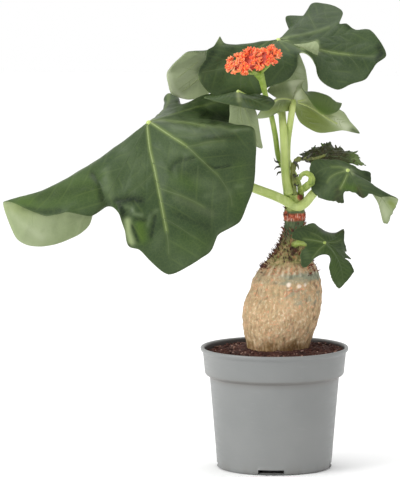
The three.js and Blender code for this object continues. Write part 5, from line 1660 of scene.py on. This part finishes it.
def add_flap(shape):
    """The curled edge of the top leaf's right lobe, which shows its pale underside."""
    outline = [
        (293, 45), (300, 44.6), (308, 43.8), (315, 42.2), (318.4, 46), (318, 52), (317, 58),
        (315.6, 61), (309.6, 55.4), (293, 45),
    ]
    outline = line_at(outline, np.linspace(0, 1, 40)[:-1])
    middle = outline.mean(0)
    rings = 7
    skins = []
    for lift in (0.0, 0.4):
        points = []
        for k in range(rings + 1):
            share = k / rings
            for x, y in middle + (outline - middle) * max(share, 0.02):
                bulge = 1.1 * (1 - share ** 2) + 0.25 * math.sin(x * 1.3) * math.sin(y * 0.9)
                depth = 3.0 - 0.25 * (x - 310) - bulge + lift
                points.append(at(x * PIXEL_WIDE + PIXEL_LEFT, PIXEL_TOP - y * PIXEL_TALL, depth))
        skins.append(np.array(points))
    sides = len(outline)
    tint = np.tile(0.2 + 0.12 * np.sin(np.arange(sides) * 0.32), rings + 1)
    for points, flip in zip(skins, (False, True)):
        shape.add(points, grid_faces(rings + 1, sides, closed=True, flip=flip), 1, dark=tint)


def sample(field, row, column):
    """A field's value between its points. Rows go round."""
    rows, columns = field.shape[:2]
    i, m = int(math.floor(row)), min(int(column), columns - 2)
    s, t = row - i, column - m
    a, b = field[i % rows], field[(i + 1) % rows]
    return (a[m] * (1 - t) + a[m + 1] * t) * (1 - s) + (b[m] * (1 - t) + b[m + 1] * t) * s


def add_strip(shape, sheet, normals, path, widths, heights, faint):
    """A raised vein along a path of rows and columns, on both sides of a blade."""
    line = np.array([sample(sheet, *p) for p in path])
    up = unit(np.array([sample(normals, *p) for p in path]))
    ahead = unit(np.gradient(line, axis=0))
    side = unit(np.cross(ahead, up))
    profile = ((-1.0, -0.25), (-0.62, 0.55), (0.0, 1.0), (0.62, 0.55), (1.0, -0.25))
    for sign, taller, slot in ((1, 0.8, 2), (-1, 1.8, 3)):
        points = [
            line + side * (widths * a)[:, None] + up * (sign * (0.26 + heights * taller * b))[:, None]
            for a, b in profile
        ]
        points = np.stack(points, 1)
        faces = grid_faces(len(path), len(profile), flip=sign < 0)
        shape.add(points.reshape(-1, 3), faces, slot, faint=np.repeat(faint, len(profile)))


def add_veins(shape, sheet, normals, run, ribs, gap):
    """Raises the main veins and the second veins on both sides of each."""
    rows, columns = sheet.shape[:2]
    places = np.linspace(0.012, 0.95, 60)
    for k, (rib_row, strength) in enumerate(ribs):
        if strength > 0:
            path = [(rib_row, s * (columns - 1)) for s in places]
            widths = 0.45 * (1 - places) ** 0.9 + 0.14
            heights = 0.2 * (1 - places) + 0.04
            add_strip(shape, sheet, normals, path, widths, heights, 1 - strength * (0.8 - 0.6 * places))
        before = ribs[k - 1][0] - (rows if k == 0 else 0)
        after = ribs[(k + 1) % len(ribs)][0] + (rows if k == len(ribs) - 1 else 0)
        whole = run[int(rib_row) % rows, -1]
        for direction, limit in ((1, (after - rib_row) / 2), (-1, (rib_row - before) / 2)):
            shift = 0.5 if direction > 0 else 0.0
            n = 1
            while (n + shift) * gap < 0.86 * whole:
                start_run = (n - shift) * gap
                n += 1
                if start_run < 0.14 * whole:
                    continue
                path = branch_path(sheet, run, rib_row, direction, start_run, 0.8 * limit)
                if len(path) < 5:
                    continue
                fade = np.linspace(0, 1, len(path))
                widths = 0.20 * (1 - fade) + 0.08
                heights = 0.08 * (1 - fade) + 0.02
                add_strip(shape, sheet, normals, path, widths, heights, 0.96 + 0.04 * fade)


def branch_path(sheet, run, rib_row, direction, start_run, limit):
    """The rows and columns that a second vein passes, from its main vein towards the edge."""
    columns = sheet.shape[1]
    stride = 1.5
    path = []
    row = rib_row
    away = 0.0
    for _ in range(60):
        run_here = [sample(run, row, m) for m in range(columns)]
        column = float(np.interp(start_run + VEIN_LEAN * away, run_here, np.arange(columns)))
        if path and (column > 0.93 * (columns - 1) or abs(row - rib_row) > limit):
            break
        path.append((row, column))
        step = sample(sheet, row + direction, column) - sample(sheet, row, column)
        away += stride
        row += direction * stride / max(np.linalg.norm(step), 0.05)
    return path


def seen_pixels(points):
    """Where points are seen in the photograph's frame, in its pixels."""
    ratio = points[..., 1] / (EYE[1] - points[..., 1])
    across = points[..., 0] + (points[..., 0] - EYE[0]) * ratio
    up = points[..., 2] + (points[..., 2] - EYE[2]) * ratio
    return np.stack([(across - PIXEL_LEFT) / PIXEL_WIDE, (PIXEL_TOP - up) / PIXEL_TALL], -1)


def distance_to(line, spots):
    """How far spots are from a line of pixels."""
    line = np.array([line[0], *line], float)
    nearest = np.full(spots.shape[:-1], 1e3)
    for a, b in zip(line[:-1], line[1:]):
        run = b - a
        t = np.clip((spots - a) @ run / max(run @ run, 1e-9), 0, 1)
        nearest = np.minimum(nearest, length_of(spots - a - t[..., None] * run)[..., 0])
    return nearest


def follow(sheet, line):
    """The rows and columns where a line of pixels is seen on a sheet's front, found from its far end."""
    spots = seen_pixels(sheet)
    columns = spots.shape[1]
    length = float(length_of(np.diff(np.array(line, float), axis=0)).sum())
    targets = line_at(line, np.linspace(1, 0, max(5, int(length))))
    near = length_of(spots - targets[0])[..., 0]
    front = np.where(near < near.min() + 1.5, sheet[..., 1], 1e9)
    place = np.array(np.unravel_index(np.argmin(front), front.shape), float)
    path = []
    for target in targets:
        for _ in range(8):
            slopes = [sample(spots, *(place + half)) - sample(spots, *(place - half)) for half in HALF_STEPS]
            miss = target - sample(spots, *place)
            step = np.linalg.lstsq(np.stack(slopes, 1), miss, rcond=None)[0]
            place = place + np.clip(step, -2.5, 2.5)
            place[1] = np.clip(place[1], 0.6, columns - 1.6)
        if length_of(target - sample(spots, *place))[0] > 1.0:
            break
        path.append(tuple(place))
    return path[::-1]


def tints(name, spots):
    """How strong each kind of mark is at a blade's points. Light marks are painted highlights and sheen, and
    dark marks are partly painted shade.
    """
    found = {kind: np.zeros(spots.shape[:-1]) for kind in ("light", "olive", "pale", "dark", "brown")}
    for kind in found:
        for strength, width, *line in MARKS[name].get(kind, []):
            found[kind] = np.maximum(found[kind], strength * fading(distance_to(line, spots), width))
    return found


# The flower head

def head_point(direction, grow):
    """A point of the flower head's cushion on a side, or a little above it."""
    local = Vector([a * b for a, b in zip(Vector(direction), HEAD_HALF + grow)])
    return np.array(turn_head(local)) + at(*HEAD_MIDDLE)


def turned_pair(a, b, angle):
    return a * math.cos(angle) + b * math.sin(angle), b * math.cos(angle) - a * math.sin(angle)


def turn_head(vector):
    """The head's roll and then its pitch."""
    x, y, z = vector
    x, z = turned_pair(x, z, HEAD_ROLL)
    y, z = turned_pair(y, z, -HEAD_PITCH)
    return Vector((x, y, z))


def add_petal(shape, base, out, side, normal, length, width, curl, heart):
    """One rounded petal, a thin closed leaf of two skins."""
    rows = 6
    columns = 5
    top = []
    for i in range(rows):
        t = i / (rows - 1)
        wide = width * (0.35 + 0.65 * math.sin(math.pi * min(0.35 + t * 0.62, 0.96)))
        centre = base + out * (length * t) + normal * (curl * length * (t - t * t * 1.5))
        for j in range(columns):
            s = j / (columns - 1) * 2 - 1
            top.append(centre + side * (wide * s) + normal * (0.18 * length * s * s * (1 - 0.4 * t)))
    top = np.array(top)
    bottom = top - normal * 0.22
    faces = grid_faces(rows, columns)
    shift = rows * columns
    faces += [[v + shift for v in face[::-1]] for face in faces]

    # The two skins are joined along the edge, once round
    border = [*range(columns), *range(2 * columns - 1, shift, columns)]
    border += [*range(shift - 2, shift - columns - 1, -1), *range(shift - 2 * columns, 0, -columns)]
    for a, b in zip(border, border[1:] + border[:1]):
        faces.append([b, a, a + shift, b + shift])

    along = np.arange(rows) / (rows - 1)
    end = blend_in(0.6, 1.0, along)
    hearts = np.repeat(np.clip(0.8 * (1 - along * 2.2), 0, 1) + 0.5 * heart * end, columns)
    tips = np.repeat(0.62 * blend_in(0.7, 1.0, along) * heart, columns)
    shape.add(
        np.concatenate([top, bottom]), faces,
        heart=np.tile(hearts, 2), cream=np.tile(tips, 2), coral=heart,
    )


def add_floret(shape, rng, place, axis, size):
    """A floret of five petals on its creamy stalk, with stamens in its heart."""
    axis = axis / np.linalg.norm(axis)
    side = np.cross(axis, [0.2, 0.9, 0.3])
    side = side / np.linalg.norm(side)
    other = np.cross(axis, side)
    spin = rng.random() * 6
    open_up = 0.35 + 0.75 * rng.random()
    shade = rng.random()
    for k in range(5):
        angle = k / 5 * math.tau + spin
        flat_out = side * math.cos(angle) + other * math.sin(angle)
        out = flat_out * math.cos(open_up) + axis * math.sin(open_up)
        across = np.cross(axis, flat_out)
        normal = np.cross(out, across)
        add_petal(shape, place + flat_out * 0.35, out, across, normal, 3.2 * size, 1.15 * size, -0.3, shade)
    for k in range(5):
        angle = (k + 0.5) / 5 * math.tau + spin
        lean = side * math.cos(angle) + other * math.sin(angle)
        line = [place + axis * t * 2.2 * size + lean * t * 0.55 * size for t in (0.0, 0.35, 0.7, 1.0)]
        add_tube(shape, line, [0.14, 0.14, 0.24, 0.30], 5, heart=1.0)
    line = [place - axis * t * size for t in (-0.4, 0.6, 1.6, 3.4)]
    add_tube(shape, line, [0.85 * size, 0.75 * size, 0.5, 0.45], 7, cream=0.55 + 0.4 * rng.random())


def head_swell(direction):
    """How far the head's clumps of florets stand out on a side, and how far the gaps between them sink."""
    along = direction[0]
    places = (-1.0, -0.72, -0.45, -0.1, 0.2, 0.5, 0.8, 1.0)
    above = (0.8, 2.0, -0.6, 2.2, -2.0, 0.2, 1.0, 0.2)
    below = (0.0, 1.6, -0.4, 2.2, -1.2, 0.4, 0.6, 0.0)
    side = math.sin(4.1 * direction[1] + 1.1)
    return float(np.interp(along, places, above if direction[2] > 0 else below)) + 0.7 * side


def build_flowers(material):
    rng = random.Random(5)
    shape = Shape()
    for i in range(FLORET_COUNT):
        rise = 1 - 1.3 * ((i + 0.5) / FLORET_COUNT)
        angle = i * GOLDEN_TURN + 0.5 * rng.random()
        level = math.sqrt(1 - rise * rise)
        direction = np.array([level * math.cos(angle), level * math.sin(angle), rise])
        axis = np.array(turn_head(Vector(direction / HEAD_HALF)).normalized())
        lean = np.array([rng.random() - 0.5, rng.random() - 0.5, rng.random() - 0.2])
        axis = unit(axis + 1.1 * lean)
        place = head_point(direction, -1.4 + head_swell(direction) + 1.8 * (rng.random() - 0.5))
        if rng.random() < 0.22:
            line = [place - axis * 2.5, place, place + axis * 1.6, place + axis * 2.8]
            add_tube(shape, line, [0.5, 0.95, 1.1, 0.5], 8, heart=0.5 * rng.random(), cream=0.1)
        else:
            add_floret(shape, rng, place, axis, 0.8 + 0.35 * rng.random())
    # A core fills the gaps between the florets, coloured dark as painted shade in the head's depths
    core_rows, core_sides = 10, 24
    points = []
    for i in range(core_rows + 1):
        polar = max(0.02, min(math.pi - 0.02, i / core_rows * math.pi))
        for j in range(core_sides):
            around = j / core_sides * math.tau
            direction = np.array([
                math.sin(polar) * math.cos(around), math.sin(polar) * math.sin(around), math.cos(polar),
            ])
            bumps = 0.5 * noise.noise(Vector(direction * 6))
            points.append(head_point(direction, -3.2 + 0.6 * head_swell(direction) + bumps))
    shape.add(points, grid_faces(core_rows + 1, core_sides, closed=True, flip=True), deep=1.0)
    shape.piece("flower_head", [material], "flowers")


# Everything is made

build_pot(pot_material())
build_soil(soil_material())
build_caudex(bark_material(), bristle_material())
skins = {
    "stalk_skin": ((0.36, 0.46, 0.115), (0.50, 0.58, 0.20), (0.60, 0.66, 0.30), 60.0),
    "wilted_skin": ((0.055, 0.065, 0.020), (0.24, 0.27, 0.055), (0.36, 0.37, 0.12), 170.0),
    "thorn_skin": ((0.028, 0.026, 0.020), (0.070, 0.072, 0.050), (0.15, 0.15, 0.10), 170.0),
    "shoot_skin": ((0.13, 0.20, 0.025), (0.29, 0.36, 0.075), (0.40, 0.46, 0.15), 170.0),
    "peduncle_skin": ((0.17, 0.27, 0.025), (0.28, 0.38, 0.07), (0.42, 0.50, 0.14), 60.0),
}
stalk_skin, wilted_skin, thorn_skin, shoot_skin, peduncle_skin = [
    stalk_material(name, *values) for name, values in skins.items()
]
build_stalks([stalk_skin], [shoot_skin], [wilted_skin, thorn_skin])
build_tube(
    "young_shoot", SHOOT_POINTS, SHOOT_RADII, [shoot_skin], "shoot", spacing=0.6, knobs=0.1, ridges=0.14,
)
build_peduncle([peduncle_skin, thorn_skin])
# In both sets light is a painted highlight and sheen, and dark is darker tone with painted shade in creases
# and under lobes
upper_marks = {
    "light": (0.088, 0.122, 0.058), "olive": (0.052, 0.100, 0.008), "pale": (0.26, 0.32, 0.15),
    "dark": (0.006, 0.015, 0.004), "brown": (0.034, 0.023, 0.014),
}
under_marks = {
    "light": (0.40, 0.45, 0.30), "olive": (0.165, 0.220, 0.030), "pale": (0.62, 0.66, 0.48),
    "dark": (0.070, 0.098, 0.038), "brown": (0.085, 0.062, 0.042),
}
leaf_materials = [
    leaf_material(
        "leaf_upper", (0.025, 0.047, 0.014), (0.043, 0.069, 0.026), (0.24, 0.32, 0.08), (0.36, 0.48), 0.2,
        upper_marks,
    ),
    leaf_material(
        "leaf_under", (0.225, 0.280, 0.135), (0.310, 0.365, 0.205), (0.45, 0.50, 0.30), (0.50, 0.65), 0.3,
        under_marks,
    ),
    vein_material("vein_upper", (0.175, 0.23, 0.08), (0.25, 0.30, 0.13), (0.032, 0.056, 0.018)),
    vein_material("vein_under", (0.36, 0.44, 0.13), (0.46, 0.52, 0.22), (0.20, 0.25, 0.115)),
]
for leaf_name, leaf_values in LEAVES.items():
    build_leaf(leaf_name, leaf_values, leaf_materials)
build_flowers(petal_material())

# A plain pale floor and soft studio light
FLOOR_REACH = 3.2
floor_mesh = bpy.data.meshes.new("floor")
corners = [(-FLOOR_REACH, -FLOOR_REACH, 0), (FLOOR_REACH, -FLOOR_REACH, 0)]
corners += [(FLOOR_REACH, FLOOR_REACH, 0), (-FLOOR_REACH, FLOOR_REACH, 0)]
floor_mesh.from_pydata(corners, [], [(0, 1, 2, 3)])
floor = bpy.data.objects.new("floor", floor_mesh)
bpy.context.scene.collection.objects.link(floor)
floor_paint = Paint("floor_pale")
floor_grain = floor_paint.noise(3.0, 2.0)
floor_paint.finish(floor_paint.ramp(floor_grain, [(0.3, 0.93), (0.7, 0.95)]), 0.9, floor_grain, bump=0.02)
floor_mesh.materials.append(floor_paint.material)

world = bpy.data.worlds.new("studio")
world.use_nodes = True
background = world.node_tree.nodes["Background"]
background.inputs["Color"].default_value = (1.0, 1.0, 1.0, 1.0)
background.inputs["Strength"].default_value = 1.0
bpy.context.scene.world = world


def add_light(name, place, target, size, watts):
    data = bpy.data.lights.new(name, "AREA")
    data.shape = "DISK"
    data.size = size
    data.energy = watts
    light = bpy.data.objects.new(name, data)
    light.location = place
    light.rotation_euler = (Vector(target) - Vector(place)).to_track_quat("-Z", "Y").to_euler()
    bpy.context.scene.collection.objects.link(light)


add_light("key", (-2.1, -1.3, 1.2), (-0.05, 0, 0.2), 1.8, 43.0)
add_light("top", (-0.3, 0.3, 2.1), (-0.05, 0, 0.2), 1.8, 14.0)
bpy.context.scene.view_settings.view_transform = "Standard"
